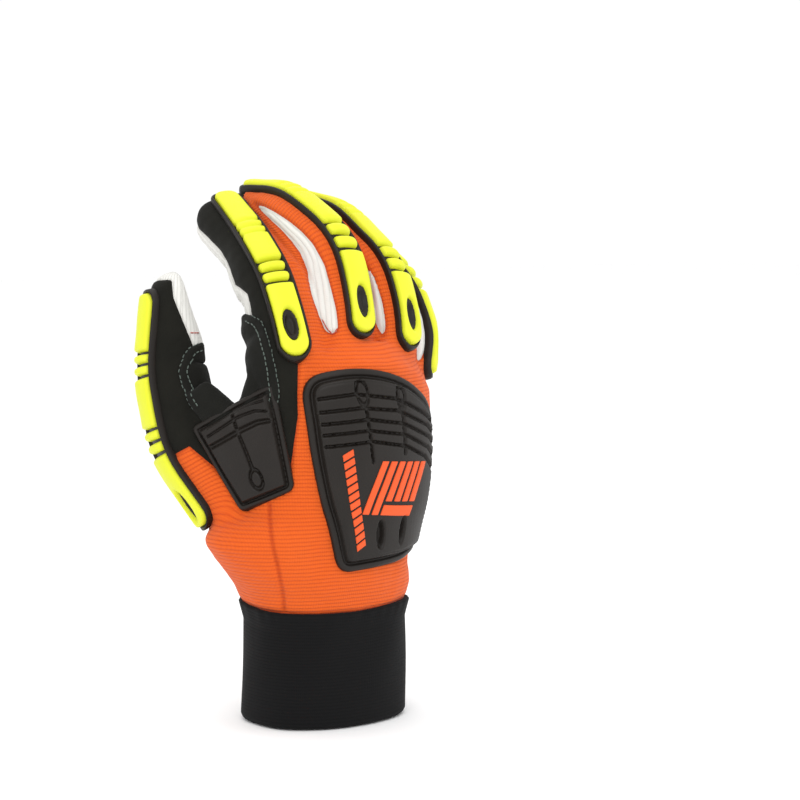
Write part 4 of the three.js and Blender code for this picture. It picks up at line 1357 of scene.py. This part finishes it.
def flat_grid(u_range, v_range, step):
    """Grid points (u, v) as rows and the triangles between them."""
    u = np.arange(u_range[0], u_range[1] + step, step)
    v = np.arange(v_range[0], v_range[1] + step, step)
    grid = np.stack(np.meshgrid(u, v, indexing="ij"), -1)
    return grid.reshape(-1, 2), split_quads(grid_faces(len(u), len(v), wrap=False))


# %% Guard outlines and heights
BASE_HALF = (8.7, 8.3, 7.7)  # half width of the dark strip at root, middle and tip
BORDER = 2.1
RIB_STEP = 4.1
RIB_HALF = 1.6
RIB_GAP = 0.9
HULL_ROUND = 6.3  # corner radii of the bar's outline, of its cuts and of its ribs
CUT_ROUND = 1.4
RIB_ROUND = 1.55
GROOVE_STEP = 3.9  # between the shallow grooves of the end joint
BAR_SKIRT = 1.4
BAR_CROWN = 0.45
BAR_EDGE = 1.35
BAR_HEIGHT = 4.3
BEAD_HEIGHT = 3.2
FLOOR_HEIGHT = 1.7
EYELET = dict(s=13.0, half_length=7.0, half_width=3.2)


def round_box(s, w, low, high, half, low_round, high_round):
    """Signed distance to a rectangle with rounded ends, positive inside."""
    middle = (low + high) / 2
    radius = np.where(s < middle, low_round, high_round)
    x = np.abs(w) - half + radius
    y = np.abs(s - middle) - (high - low) / 2 + radius
    outside = np.hypot(np.maximum(x, 0), np.maximum(y, 0)) + np.minimum(np.maximum(x, y), 0) - radius
    return -outside


def eyelet_distance(s, w):
    """About the distance to the eyelet's ellipse, positive inside it."""
    share = np.hypot((s - EYELET["s"]) / EYELET["half_length"], w / EYELET["half_width"])
    return (1 - share) * EYELET["half_width"]


def bullnose(distance, radius):
    """0 at an edge, 1 beyond the radius, and a quarter circle between."""
    t = np.clip(distance / radius, 0, 1)
    return np.sqrt(1 - (1 - t) ** 2)


def base_half(digit, s):
    """Half width of the dark strip along a digit."""
    return np.interp(s / digit["length"], (0, 0.5, 1), BASE_HALF) * digit["sections"][0, 3] / 12.4


def cut_joints(digit):
    """The joints where the bar is cut through: the middle one, and on the thumb the end one too."""
    return digit["ribs"] if digit is DIGITS["thumb"] else digit["ribs"][:1]


def bar_segments(digit):
    """The bar's pieces as (low, high, low rounding, high rounding), split at the joints by two short
    ribs."""
    pieces, low, low_round = [], digit["strip"][0] + BORDER, HULL_ROUND
    for joint in cut_joints(digit):
        far = RIB_STEP / 2 + RIB_HALF + RIB_GAP
        pieces.append((low, joint - far, low_round, CUT_ROUND))
        for middle in (joint - RIB_STEP / 2, joint + RIB_STEP / 2):
            pieces.append((middle - RIB_HALF, middle + RIB_HALF, RIB_ROUND, RIB_ROUND))
        low, low_round = joint + far, CUT_ROUND
    pieces.append((low, digit["strip"][1] - BORDER, low_round, digit["strip_round"]))
    return pieces


def end_grooves(digit, s, width):
    """Sum of bell curves at the shallow grooves of the end joint, or nothing where the bar is cut there."""
    if digit is DIGITS["thumb"]:
        return 0 * s
    return sum(np.exp(-(((s - digit["ribs"][1] - k * GROOVE_STEP) / width) ** 2)) for k in (-1, 0, 1))


def bar_distance(digit, s, w):
    """Signed distance to the lime bar: the largest of its pieces' distances, less the eyelet."""
    half = base_half(digit, s) - BORDER - 0.7 * end_grooves(digit, s, 0.9)
    pieces = [round_box(s, w, low, high, half, a, b) for low, high, a, b in bar_segments(digit)]
    return np.minimum(np.maximum.reduce(pieces), -eyelet_distance(s, w))


def hull_distance(digit, s, w):
    """Signed distance to the bar's whole outline, without its gaps."""
    low, high = digit["strip"][0] + BORDER, digit["strip"][1] - BORDER
    return round_box(s, w, low, high, base_half(digit, s) - BORDER, HULL_ROUND, digit["strip_round"])


def base_distance(digit, s, w):
    """Signed distance to the dark strip."""
    low, high = digit["strip"]
    low_round, high_round = base_half(digit, 0.0) - 0.1, digit["strip_round"] + 1.6
    return round_box(s, w, low, high, base_half(digit, s), low_round, high_round)


def base_height(digit, s, w):
    """A bead between the strip's edge and the bar, a low floor under the bar, and a dished lip in the
    eyelet."""
    edge, hull = base_distance(digit, s, w), hull_distance(digit, s, w)
    share = np.clip(edge / np.maximum(edge - hull, 0.1), 0, 1)
    inner_slope = np.where(share > 0.62, 1 - 0.5 * ((share - 0.62) / 0.38) ** 2, 1)
    bead = 0.5 + (BEAD_HEIGHT - 0.5) * bullnose(share, 0.5) * inner_slope
    inside = eyelet_distance(s, w)
    plug = 3.0 - 1.6 * smooth_step((inside - 0.4) / 1.4)
    floor_level = np.where(inside > -0.1, plug, FLOOR_HEIGHT)
    return np.where(hull > 0, floor_level, np.maximum(bead, 0.4))


def bar_height(digit, s, w):
    """A crowned bar with round edges and shallow grooves at the end joint."""
    edge = bar_distance(digit, s, w)
    half = base_half(digit, s) - BORDER
    crown = BAR_CROWN * (1 - (w / half) ** 2)
    rib = sum(smooth_step((RIB_STEP * 1.3 - np.abs(s - joint)) / 0.6) for joint in cut_joints(digit))
    taper = rib * 0.9 * np.clip(np.abs(w) / half, 0, 1) ** 3
    dip = 1.25 * end_grooves(digit, s, 0.75)
    return BAR_SKIRT + (BAR_HEIGHT - BAR_SKIRT + crown - taper - dip) * bullnose(edge, BAR_EDGE)


# %% Guards on the digits
GUARD_STEP = 0.42
LAY_STEP = 1.5
STRIP_BOTTOM = -0.5  # over the cloth
BAR_BOTTOM = 1.0


def laid_guard(digit):
    """Coarse grid of ray starts, ray directions and distances to the skin for one digit's strip. A ray
    starts a little off the middle line and leans outwards, so the grid fans over the rounded back."""
    s = np.arange(digit["strip"][0] - 3, digit["strip"][1] + 2, LAY_STEP)
    w = np.arange(-12, 12.1, LAY_STEP)
    middle, _, out, side = digit_frame(digit, s)
    turn = np.radians(bow_value(digit, s, "turn"))[:, None]
    out, side = out * np.cos(turn) + side * np.sin(turn), side * np.cos(turn) - out * np.sin(turn)
    deep = digit_half(digit, np.clip(s, 0, digit["length"] - 14), 0, 1)[1]
    origin = middle[:, None] + side[:, None] * (0.35 * w[None, :, None])
    lean = side[:, None] * (0.65 * w[None, :, None]) + out[:, None] * (deep[:, None, None] + 3.0)
    direction = lean / np.linalg.norm(lean, axis=-1, keepdims=True)
    distance = rays_to_skin(origin, direction, np.nan)
    known = distance < np.hypot(deep[:, None], 0.65 * w[None]) + 6
    return (s[0], w[0]), origin, direction, evened(filled(distance, known), 5)


def guard_points(laid, s, w, height):
    """Points at a height above the skin over (s, w)."""
    low, origin, direction, distance = laid
    start = read_grid(origin, low, LAY_STEP, s, w)
    toward = read_grid(direction, low, LAY_STEP, s, w)
    return start + toward * (read_grid(distance, low, LAY_STEP, s, w) + height)[:, None]


def guard_piece(name, digit, laid, distance_of, height_of, sunk, slot, node):
    """Cuts the (s, w) grid at the outline, raises it by the height map, and closes it with a floor
    below."""
    flat, tris = flat_grid((digit["strip"][0] - 1, digit["strip"][1] + 1), (-10, 10), GUARD_STEP)
    flat, tris = clipped(flat, tris, distance_of(digit, flat[:, 0], flat[:, 1]))
    s, w = flat.T
    top = guard_points(laid, s, w, height_of(digit, s, w))
    bottom = guard_points(laid, s, w, np.full(len(s), sunk))
    points, tris = facing_out(*closed_sheet(top, bottom, tris))
    return make_piece(name, points, tris, slot, [node], slot)


for name, digit in DIGITS.items():
    laid = laid_guard(digit)
    guard_piece(f"{name}_strip", digit, laid, base_distance, base_height, STRIP_BOTTOM,
                "dark_rubber", f"{name}_guard_base")
    guard_piece(f"{name}_bar", digit, laid, bar_distance, bar_height, BAR_BOTTOM,
                "lime_rubber", f"{name}_guard_bar")
print("guards:", {key: count for key, count in made.items() if key.endswith(("strip", "bar"))})

# %% [markdown]
# ## The knuckle pad and the guard at the root of the thumb
#
# Both are single rubber mouldings: a flange, a narrow valley inside it, a raised field, and grooves along
# which the rubber bends. They are height maps again, over an upright grid that looks at the pad from
# straight in front. The grid is laid on the cloth by level rays and evened out, because rubber spans the
# small folds under it.

# %% Laying an upright grid
PAD_LAY_STEP = 2.0
PAD_STEP = 0.4
PAD_SHARP = np.radians(88)  # the rubber's grooves are rounded, only its cut rim is an edge


def laid_pad(u_range, v_range, axis, inward, start):
    """Points and normals on a coarse grid: u along a level axis and v upwards, met by rays that start in
    front."""
    u = np.arange(u_range[0], u_range[1] + PAD_LAY_STEP, PAD_LAY_STEP)
    v = np.arange(v_range[0], v_range[1] + PAD_LAY_STEP, PAD_LAY_STEP)
    origin = u[:, None, None] * axis + v[None, :, None] * np.array([0, 0, 1.0]) + inward * start
    direction = np.broadcast_to(inward, origin.shape)
    distance = rays_to_skin(origin, direction, np.nan)
    distance = evened(filled(distance, ~np.isnan(distance)), 5)
    points = origin + inward * distance[..., None]
    slope_u, slope_v = np.gradient(points, axis=0), np.gradient(points, axis=1)
    normal = np.cross(slope_u, slope_v)
    normal *= np.sign(-(normal @ inward))[..., None]
    normal /= np.linalg.norm(normal, axis=-1, keepdims=True)
    return (u[0], v[0]), points, evened(normal, 3)


def pad_piece(name, laid, u_range, v_range, outline, height, sunk, finish, nodes):
    """Cuts the upright grid at the outline, raises it by the height map along the normals, and closes it
    below."""
    flat, tris = flat_grid(u_range, v_range, PAD_STEP)
    flat, tris = clipped(flat, tris, outline(flat))
    low, points, normals = laid
    place = read_grid(points, low, PAD_LAY_STEP, flat[:, 0], flat[:, 1])
    normal = read_grid(normals, low, PAD_LAY_STEP, flat[:, 0], flat[:, 1])
    normal /= np.linalg.norm(normal, axis=1, keepdims=True)
    top = place + normal * height(flat)[:, None]
    points, tris = facing_out(*closed_sheet(top, place + normal * sunk, tris))
    return make_piece(name, points, tris, finish, nodes, "dark_rubber", sharp=PAD_SHARP)


def line_distance(flat, corners):
    """Distance in the grid to a line through the corners."""
    corners = np.array(corners, float)
    start, along = corners[:-1][None], (corners[1:] - corners[:-1])[None]
    offset = flat[:, None] - start
    share = np.clip((offset * along).sum(-1) / (along ** 2).sum(-1), 0, 1)
    return np.linalg.norm(offset - share[..., None] * along, axis=-1).min(1)


def rounded_outline(corners, per_corner=7):
    """Outline points of corners (u, v, rounding): each corner is a quadratic curve between its two
    neighbours."""
    corners = np.array(corners, float)
    place, radius = corners[:, :2], corners[:, 2:3]
    before, after = np.roll(place, 1, axis=0) - place, np.roll(place, -1, axis=0) - place
    enter = place + before / np.linalg.norm(before, axis=1, keepdims=True) * radius
    leave = place + after / np.linalg.norm(after, axis=1, keepdims=True) * radius
    t = np.linspace(0, 1, per_corner)[None, :, None]
    curve = (1 - t) ** 2 * enter[:, None] + 2 * t * (1 - t) * place[:, None] + t ** 2 * leave[:, None]
    return curve.reshape(-1, 2)


def groove(distance, half_width, depth):
    """A round-bottomed groove: its depth at the line, nothing beyond the half width."""
    t = np.clip(distance / half_width, 0, 1)
    return depth * (1 - t ** 2) ** 1.5


def drop_distance(flat, middle, half_length, half_width, slant):
    """About the distance to a drop shape: an ellipse whose long side slants by an angle from upright."""
    angle = np.radians(slant)
    offset = flat - np.array(middle)
    along = offset[:, 1] * np.cos(angle) + offset[:, 0] * np.sin(angle)
    across = offset[:, 0] * np.cos(angle) - offset[:, 1] * np.sin(angle)
    return (1 - np.hypot(along / half_length, across / half_width)) * half_width


# %% Knuckle pad
# Columns of corners: across, height, rounding
PAD_CORNERS = [
    (-25.5, 148.6, 9), (-4, 153.2, 10), (19, 148.8, 12), (41, 134.5, 11), (44, 108, 12),
    (36.5, 72, 5), (22, 68.5, 6), (-13, 67, 6), (-22, 112, 14),
]
PAD_OUTLINE = rounded_outline(PAD_CORNERS)
PAD_FLANGE = 3.3
PAD_FLANGE_HEIGHT = 2.2
PAD_FIELD_HEIGHT = 4.5
PAD_GROOVE = dict(half_width=0.95, cross_depth=1.8, long_depth=2.0)
PAD_DROP_DEPTH = 3.2
PAD_CROSS = [
    [(-19.5, 139.9), (-5.6, 141.8), (12.1, 139.3), (17.2, 137.4), (28.2, 132.4), (42, 124)],
    [(-19.2, 134.5), (-3.2, 136.2), (13.7, 134.3), (31.5, 126.8), (42.5, 118.5)],
    [(-18.4, 129.7), (-0.3, 131.5), (16.6, 128.8), (33.1, 121.6), (43, 113.5)],
    [(-18.2, 125.2), (-0.3, 126.9), (17.6, 124.1), (32.6, 117.2), (42.5, 108.5)],
    [(-17.1, 120.5), (1.3, 122.2), (18.8, 119.0), (30.9, 113.4), (41.5, 103.5)],
]
PAD_LONG = [
    [(-1.6, 137.0), (0.9, 120.4), (1.9, 113.5)],
    [(15.6, 135.1), (17.8, 119.1), (17.9, 116.0)],
]
# Columns of loops and drops: middle, half length, half width, slant in degrees
PAD_LOOPS = [((-2.8, 142.4), 5.2, 2.2, -10), ((15.0, 139.6), 4.8, 1.8, -8)]
PAD_DROPS = [((6.0, 82.2), 6.2, 2.0, 2), ((18.2, 83.2), 6.2, 1.6, 8)]


def pad_outline(flat):
    """Signed distance to the pad's outline."""
    return outline_distance(flat, PAD_OUTLINE)


def pad_height(flat):
    """Flange, valley and crowned field from the distance to the outline, less the grooves, loops and
    drops."""
    edge = pad_outline(flat)
    flange = PAD_FLANGE_HEIGHT * (0.35 + 0.65 * bullnose(edge, 1.3))
    flange += 0.25 * np.sin(np.clip(edge / PAD_FLANGE, 0, 1) * np.pi)
    valley = groove(np.abs(edge - PAD_FLANGE), 0.9, 1.0)
    field = smooth_step((edge - PAD_FLANGE - 0.3) / 1.5)
    ledge = 0.35 * np.exp(-(((edge - PAD_FLANGE - 2.1) / 0.35) ** 2))
    height = flange - valley + field * (PAD_FIELD_HEIGHT - PAD_FLANGE_HEIGHT) - ledge
    inside = smooth_step((edge - PAD_FLANGE - 1.2) / 1.0)
    carving = 0 * edge
    for lines, depth in ((PAD_CROSS, PAD_GROOVE["cross_depth"]), (PAD_LONG, PAD_GROOVE["long_depth"])):
        for line in lines:
            cut = groove(line_distance(flat, line), PAD_GROOVE["half_width"], depth)
            carving = np.maximum(carving, cut)
    for middle, long_half, short_half, slant in PAD_LOOPS:
        loop = drop_distance(flat, middle, long_half, short_half, slant)
        carving = np.maximum(carving, groove(np.abs(loop), 0.75, 1.7))
    for middle, long_half, short_half, slant in PAD_DROPS:
        drop = drop_distance(flat, middle, long_half, short_half, slant)
        carving = np.maximum(carving, PAD_DROP_DEPTH * smooth_step((drop + 0.4) / 1.2))
    return height - carving * inside


knuckle_laid = laid_pad((-32, 52), (60, 160), np.array([1.0, 0, 0]), np.array([0, 1.0, 0]), -90)
pad_piece("knuckle_pad_rubber", knuckle_laid, (-28, 48), (64, 157), pad_outline, pad_height, -0.6,
          "dark_rubber", ["knuckle_pad"])
print("knuckle pad:", made["knuckle_pad_rubber"], "triangles")

# %% [markdown]
# ## Bright bars on the pad
#
# The pad carries flat orange accents moulded into the rubber: a slim ladder of slanted blocks and a patch
# of slanted hazard bars. Each bar is a small height map laid on the field like the pad itself.

# %% Orange accents
LADDER_LINE = ((-9.2, 118.6), (-3.9, 76.8))
LADDER_BLOCKS = 12
LADDER_BLOCK = (4.4, 2.7)  # across and along the ladder
HAZARD_LOW = (3.0, 91.0)
HAZARD_SIZE = (26.0, 23.0)
HAZARD_BARS = 6
HAZARD_BAR_WIDTH = 3.0
HAZARD_LONG_BARS = 2  # these reach the bottom, the others end above a level bar
HAZARD_LEVEL_BAR = 4.4
HAZARD_GAP = 1.6
ACCENT_HEIGHT = 0.55


def ladder_outline(flat):
    """Slanted blocks in a row: place along the ladder modulo its pitch, leaning with the distance across
    it."""
    start, end = (np.array(p) for p in LADDER_LINE)
    length = np.linalg.norm(end - start)
    along_axis = (end - start) / length
    across_axis = np.array([-along_axis[1], along_axis[0]])
    offset = flat - start
    across = offset @ across_axis
    along = offset @ along_axis + 0.45 * across
    pitch = length / LADDER_BLOCKS
    inside = (along > 0) & (along < length)
    local = (along % pitch) - pitch / 2
    distance = np.minimum(LADDER_BLOCK[0] / 2 - np.abs(across), LADDER_BLOCK[1] / 2 - np.abs(local))
    return np.where(inside, distance, -1.0)


def hazard_outline(flat):
    """Parallel slanted bars cut off level at the top; the first reach the bottom, the others stand on a
    level bar."""
    low_u, low_v = HAZARD_LOW
    wide, tall = HAZARD_SIZE
    level = flat[:, 1] - low_v + 0.1 * (flat[:, 0] - low_u)
    u = flat[:, 0] - low_u - 0.42 * (level - tall / 2)
    pitch = wide / HAZARD_BARS
    bar = np.clip(np.round(u / pitch), 0, HAZARD_BARS - 1)
    bottom = np.where(bar < HAZARD_LONG_BARS, 0.0, HAZARD_LEVEL_BAR + HAZARD_GAP)
    upright = np.minimum(tall - level, level - bottom)
    bars = np.minimum(HAZARD_BAR_WIDTH / 2 - np.abs(u - bar * pitch), upright)
    start = HAZARD_LONG_BARS * pitch - HAZARD_BAR_WIDTH / 2
    end = (HAZARD_BARS - 1) * pitch + HAZARD_BAR_WIDTH / 2
    level_bar = np.minimum(np.minimum(level, HAZARD_LEVEL_BAR - level), np.minimum(u - start, end - u))
    return np.maximum(bars, level_bar)


def accent_height(outline):
    """The pad's own height, plus the accent with a narrow rounded edge."""
    return lambda flat: pad_height(flat) + ACCENT_HEIGHT * bullnose(outline(flat) + 0.05, 0.4)


pad_piece("accent_ladder", knuckle_laid, (-14, 4), (72, 122),
          ladder_outline, accent_height(ladder_outline), 3.0, "print_rubber", [])
pad_piece("accent_bars", knuckle_laid, (-6, 38), (86, 118),
          hazard_outline, accent_height(hazard_outline), 2.2, "print_rubber", [])

# %% Guard at the root of the thumb
CROTCH_CORNERS = [(-54.6, 127.4, 3.0), (-19.0, 147.6, 3.5), (-10.7, 102.6, 3.5), (-33.3, 92.0, 3.0)]
CROTCH_OUTLINE = rounded_outline(CROTCH_CORNERS)
CROTCH_FLANGE = 2.6
CROTCH_FLANGE_HEIGHT = 2.4
CROTCH_FIELD_HEIGHT = 4.3
# Columns of cross grooves: line, half width, depth
CROTCH_CROSS = [
    ([(-46.9, 127.6), (-40.9, 131.3), (-34.7, 134.2), (-28.5, 137.4), (-22.6, 140.1)], 0.8, 1.3),
    ([(-46.1, 124.4), (-40.5, 127.9), (-35.1, 131.0), (-26.6, 135.0), (-21.2, 135.6)], 0.8, 1.3),
    ([(-44.8, 120.0), (-34.2, 126.1), (-26.0, 130.2), (-20.6, 131.3)], 1.5, 1.8),
]
CROTCH_LINE = [(-37.0, 133.4), (-35.7, 129.9), (-33.4, 124.2), (-27.9, 111.0)]
CROTCH_LOOP = ((-25.9, 106.9), 4.2, 2.4, -24)


def crotch_outline(flat):
    """Signed distance to the guard's outline."""
    return outline_distance(flat, CROTCH_OUTLINE)


def crotch_height(flat):
    """Bevelled flange, valley, raised field, three cross grooves, and a line that ends in a drop-shaped
    loop."""
    edge = crotch_outline(flat)
    flange = CROTCH_FLANGE_HEIGHT * (0.35 + 0.65 * bullnose(edge, 1.6))
    valley = groove(np.abs(edge - CROTCH_FLANGE), 0.9, 1.2)
    field = smooth_step((edge - CROTCH_FLANGE - 0.2) / 1.3)
    height = flange - valley + field * (CROTCH_FIELD_HEIGHT - CROTCH_FLANGE_HEIGHT)
    inside = smooth_step((edge - CROTCH_FLANGE - 0.6) / 1.0)
    carving = 0 * edge
    for line, half_width, depth in CROTCH_CROSS:
        carving = np.maximum(carving, groove(line_distance(flat, line), half_width, depth))
    along = np.clip((flat[:, 1] - 112.8) / 22, 0, 1)
    line = line_distance(flat, CROTCH_LINE)
    carving = np.maximum(carving, groove(line, 1.05 - 0.35 * along, 1.6))
    middle, long_half, short_half, slant = CROTCH_LOOP
    loop = drop_distance(flat, middle, long_half, short_half, slant)
    carving = np.maximum(carving, groove(np.abs(loop), 0.8, 1.6))
    return height - carving * inside


crotch_laid = laid_pad((-62, 0), (84, 158), view_right, view_back, -120)
pad_piece("thumb_root_guard", crotch_laid, (-54, -8), (93, 149), crotch_outline, crotch_height, -0.8,
          "dark_rubber", ["crotch_guard"])
print("thumb root guard:", made["thumb_root_guard"], "triangles")

# %% [markdown]
# ## The patch over the crotch of the thumb
#
# A second layer of suede doubles the web between thumb and index finger, where tools rub. It lies on the
# cloth, so it is cut from the same skin and moved outwards. Two rows of thread follow its free edges.

# %% Crotch patch
# Columns of corners: across, height, rounding
PATCH_CORNERS = [
    (-49, 163, 3), (-57, 160, 3), (-61, 150, 4), (-56, 138, 4), (-47, 127, 4), (-26, 127, 4),
    (-16.6, 140, 4), (-19.6, 158, 6), (-24.6, 173, 5), (-37, 175, 4), (-42, 160, 3),
]
PATCH_OUTLINE = rounded_outline(PATCH_CORNERS)
PATCH_DEPTH = -8.0
PATCH_HEIGHT = 1.6
# The patch swells at the root of the index finger
PATCH_SWELL = dict(height=166.5, half=6.0, rise=2.4, first=-45.0, last=-24.0)
PATCH_RIM = 0.15

flat_skin, depth_skin = in_view_plane(skin_points)
patch_edge = np.minimum(outline_distance(flat_skin, PATCH_OUTLINE), PATCH_DEPTH - depth_skin)
patch_values = np.column_stack([skin_points, skin_normals, patch_edge])
patch_sheet, patch_tris = clipped(patch_values, skin_tris, patch_edge)
patch_tris = main_bodies(patch_tris, len(patch_sheet))
patch_flat = in_view_plane(patch_sheet[:, PLACE])[0]
swell = np.exp(-(((patch_flat[:, 1] - PATCH_SWELL["height"]) / PATCH_SWELL["half"]) ** 2))
swell *= smooth_step((patch_flat[:, 0] - PATCH_SWELL["first"]) / 4)
swell *= smooth_step((PATCH_SWELL["last"] - patch_flat[:, 0]) / 6)
full_rise = PATCH_HEIGHT - PATCH_RIM + PATCH_SWELL["rise"] * swell
rise = PATCH_RIM + full_rise * bullnose(patch_sheet[:, 6], 1.0)
patch_top = patch_sheet[:, PLACE] + patch_sheet[:, NORMAL] * rise[:, None]
patch_bottom = patch_sheet[:, PLACE] - patch_sheet[:, NORMAL] * 0.3
make_piece("crotch_patch_suede", *closed_sheet(patch_top, patch_bottom, patch_tris), "patch_suede",
           ["crotch_patch"], "dark_suede")
print("patch:", made["crotch_patch_suede"], "triangles")

# %% [markdown]
# ## Stitching
#
# Each stitch is a short thread with round ends that lies along its seam. Thousands of them would be slow to
# model one by one, so a single small capsule is worked out once and placed by arrays: middle, direction and
# normal.

# %% Stitch maker
STITCH_SIDES = 6
STITCH_RINGS = 5
LOOK_AHEAD = 0.4  # half of the stretch from which a stitch takes its direction
RAY_START = 130.0  # how far outside the glove the rays towards it begin


def capsule():
    """A capsule of length 2 along X: rings whose radius is the superellipse sqrt(1 - x^4), closed by end
    points."""
    x = np.cos(np.linspace(np.pi, 0, STITCH_RINGS + 2))[1:-1]
    angle = np.linspace(0, TURN, STITCH_SIDES, endpoint=False)
    radius = np.sqrt(1 - x ** 4)
    rings = np.stack([np.broadcast_to(x[:, None], (STITCH_RINGS, STITCH_SIDES)),
                      radius[:, None] * np.cos(angle), radius[:, None] * np.sin(angle)], -1)
    points, tris = closed_loft(rings)
    points[-2:, 0] = (-1, 1)
    return facing_out(points, tris)


CAPSULE = capsule()


def stitches(middles, directions, normals, half_length, half_width):
    """Copies of the capsule turned to each direction and normal: one array product for all of them."""
    side = np.cross(normals, directions)
    side /= np.linalg.norm(side, axis=1, keepdims=True)
    up = np.cross(directions, side)
    frame_axes = np.stack([directions * half_length, side * half_width, up * half_width], 1)
    points = middles[:, None] + np.einsum("pk,nkj->npj", CAPSULE[0], frame_axes)
    step = len(CAPSULE[0])
    tris = CAPSULE[1][None] + (np.arange(len(middles)) * step)[:, None, None]
    return points.reshape(-1, 3), tris.reshape(-1, 3)


def lengths_along(points):
    """Distance along a line of points, from its first point to each."""
    return np.concatenate([[0], np.cumsum(np.linalg.norm(np.diff(points, axis=0), axis=1))])


def read_line(points, where):
    """Points of a line at distances along it."""
    length = lengths_along(points)
    return np.stack([np.interp(where, length, points[:, k]) for k in range(points.shape[1])], -1)


def walk(points, pitch):
    """Places a pitch apart along a line of points, and the directions there."""
    total = lengths_along(points)[-1]
    at = np.arange(pitch / 2, total, pitch)
    ahead = read_line(points, np.minimum(at + LOOK_AHEAD, total))
    behind = read_line(points, np.maximum(at - LOOK_AHEAD, 0))
    direction = ahead - behind
    return read_line(points, at), direction / np.linalg.norm(direction, axis=1, keepdims=True)


def thread_piece(name, rows, tree, size, finish, slot):
    """Stitches of rows, each a pair of middles and directions, settled on a surface: each middle moves to
    the nearest surface point and takes its normal."""
    middles, directions = (np.vstack(part) for part in zip(*rows))
    found = [tree.find_nearest(Vector(m)) for m in middles]
    place = np.array([hit[0][:] for hit in found])
    normal = np.array([hit[1][:] for hit in found])
    along = directions - normal * (directions * normal).sum(1, keepdims=True)
    along /= np.linalg.norm(along, axis=1, keepdims=True)
    place = place + normal * size["lift"]
    points, tris = stitches(place, along, normal, size["pitch"] * 0.4, size["width"] / 2)
    print(name, "has", len(middles), "stitches")
    return make_piece(name, points, tris, finish, [], slot, sharp=np.pi)


# %% Rows on the patch
PATCH_ROWS = (1.2, 2.9)  # distances of the two rows from the patch's edge
PATCH_THREAD = dict(pitch=2.1, width=0.55, lift=0.08)
SEWN_CORNERS = ((0, 4), (6, 11))  # first and last corner of each free edge


def front_points(flat):
    """Points of the skin met from the front at places (u, z) of the upright plane, with those that miss
    left out."""
    starts = flat[:, :1] * view_right + flat[:, 1:] * np.array([0, 0, 1.0]) - RAY_START * view_back
    hits = [skin_tree.ray_cast(Vector(start), Vector(view_back)) for start in starts]
    return np.array([hit[0][:] for hit in hits if hit[0] is not None])


def inset_line(outline, distance, first, last):
    """Part of an outline moved inwards by a distance, between two corner numbers."""
    per_corner = len(outline) // len(PATCH_CORNERS)
    part = outline[first * per_corner:last * per_corner]
    tangent = np.gradient(part, axis=0)
    tangent /= np.linalg.norm(tangent, axis=1, keepdims=True) + 1e-9
    left = np.stack([-tangent[:, 1], tangent[:, 0]], 1)
    probe = outline_distance(part + left * 0.5, outline) > 0
    return part + np.where(probe[:, None], left, -left) * distance


patch_tree = BVHTree.FromPolygons(patch_top.tolist(), patch_tris.tolist())
patch_rows = []
for first, last in SEWN_CORNERS:
    for distance in PATCH_ROWS:
        line = front_points(inset_line(PATCH_OUTLINE, distance, first, last))
        step = np.linalg.norm(np.diff(line, axis=0), axis=1)
        line = line[np.concatenate([[True], (step > 0.05) & (step < 9)])]
        patch_rows.append(walk(line, PATCH_THREAD["pitch"]))
thread_piece("patch_thread", patch_rows, patch_tree, PATCH_THREAD, "grey_thread", "dark_suede")

# %% [markdown]
# ## Red thread on the canvas
#
# The palm's cords are held by one line of red thread down the middle of each finger, which runs on over the
# palm. Two short lines close the canvas at the thumb's side and at the end of the gusset between the first
# two fingers.

# %% Rows on the canvas
PALM_THREAD = dict(pitch=2.6, width=0.5, lift=0.12)
SHORT_STITCH = 1.9
FINGER_END = 9.0  # the line stops this far below the fingertip
PALM_LINES = {
    "index": [(-27, 148), (-33.5, 140), (-37.4, 131), (-45, 119)],
    "middle": [(-1, 160), (-6, 143), (-10.9, 128), (-7.4, 97), (-17.4, 67), (-19.6, 54)],
    "ring": [(20, 152), (18.7, 140), (18.7, 97), (12.6, 67), (7.5, 54)],
    "little": [(37, 140), (35, 128), (34, 112)],
}
SHORT_LINES = {
    "thumb": [(-55.8, 166.4), (-53.6, 166.2), (-51.4, 165.9)],
    "gusset": [(0.0, 172.1), (2.2, 168.3), (4.6, 166.2), (6.7, 168.7)],
}


def rear_points(flat):
    """Points of the skin met from the palm's side at places (x, z), with those that miss left out."""
    hits = [skin_tree.ray_cast(Vector((x, RAY_START, z)), Vector((0, -1.0, 0))) for x, z in flat]
    return np.array([hit[0][:] for hit in hits if hit[0] is not None])


def finger_line(digit):
    """Points just off the palm side of a finger, from below its tip down to its root."""
    s = np.linspace(digit["length"] - FINGER_END, 4, 40)
    middle, _, out, _ = digit_frame(digit, s)
    half = digit_half(digit, s, 0 * s, -1 + 0 * s)[1]
    return middle - out * half[:, None]


def densified(corners, step=1.5):
    """Points a step apart along straight lines between corners."""
    corners = np.array(corners, float)
    return read_line(corners, np.arange(0, lengths_along(corners)[-1], step))


red_rows = []
for name, corners in PALM_LINES.items():
    red_rows.append(walk(finger_line(DIGITS[name]), PALM_THREAD["pitch"]))
    red_rows.append(walk(rear_points(densified(corners)), PALM_THREAD["pitch"]))
for corners in SHORT_LINES.values():
    red_rows.append(walk(front_points(densified(corners, 0.8)), SHORT_STITCH))
thread_piece("palm_thread", red_rows, skin_tree, PALM_THREAD, "red_thread", "corded_canvas")

# %% Finish
bpy.context.view_layer.update()
print("pieces:", len(made), "triangles:", sum(made.values()))
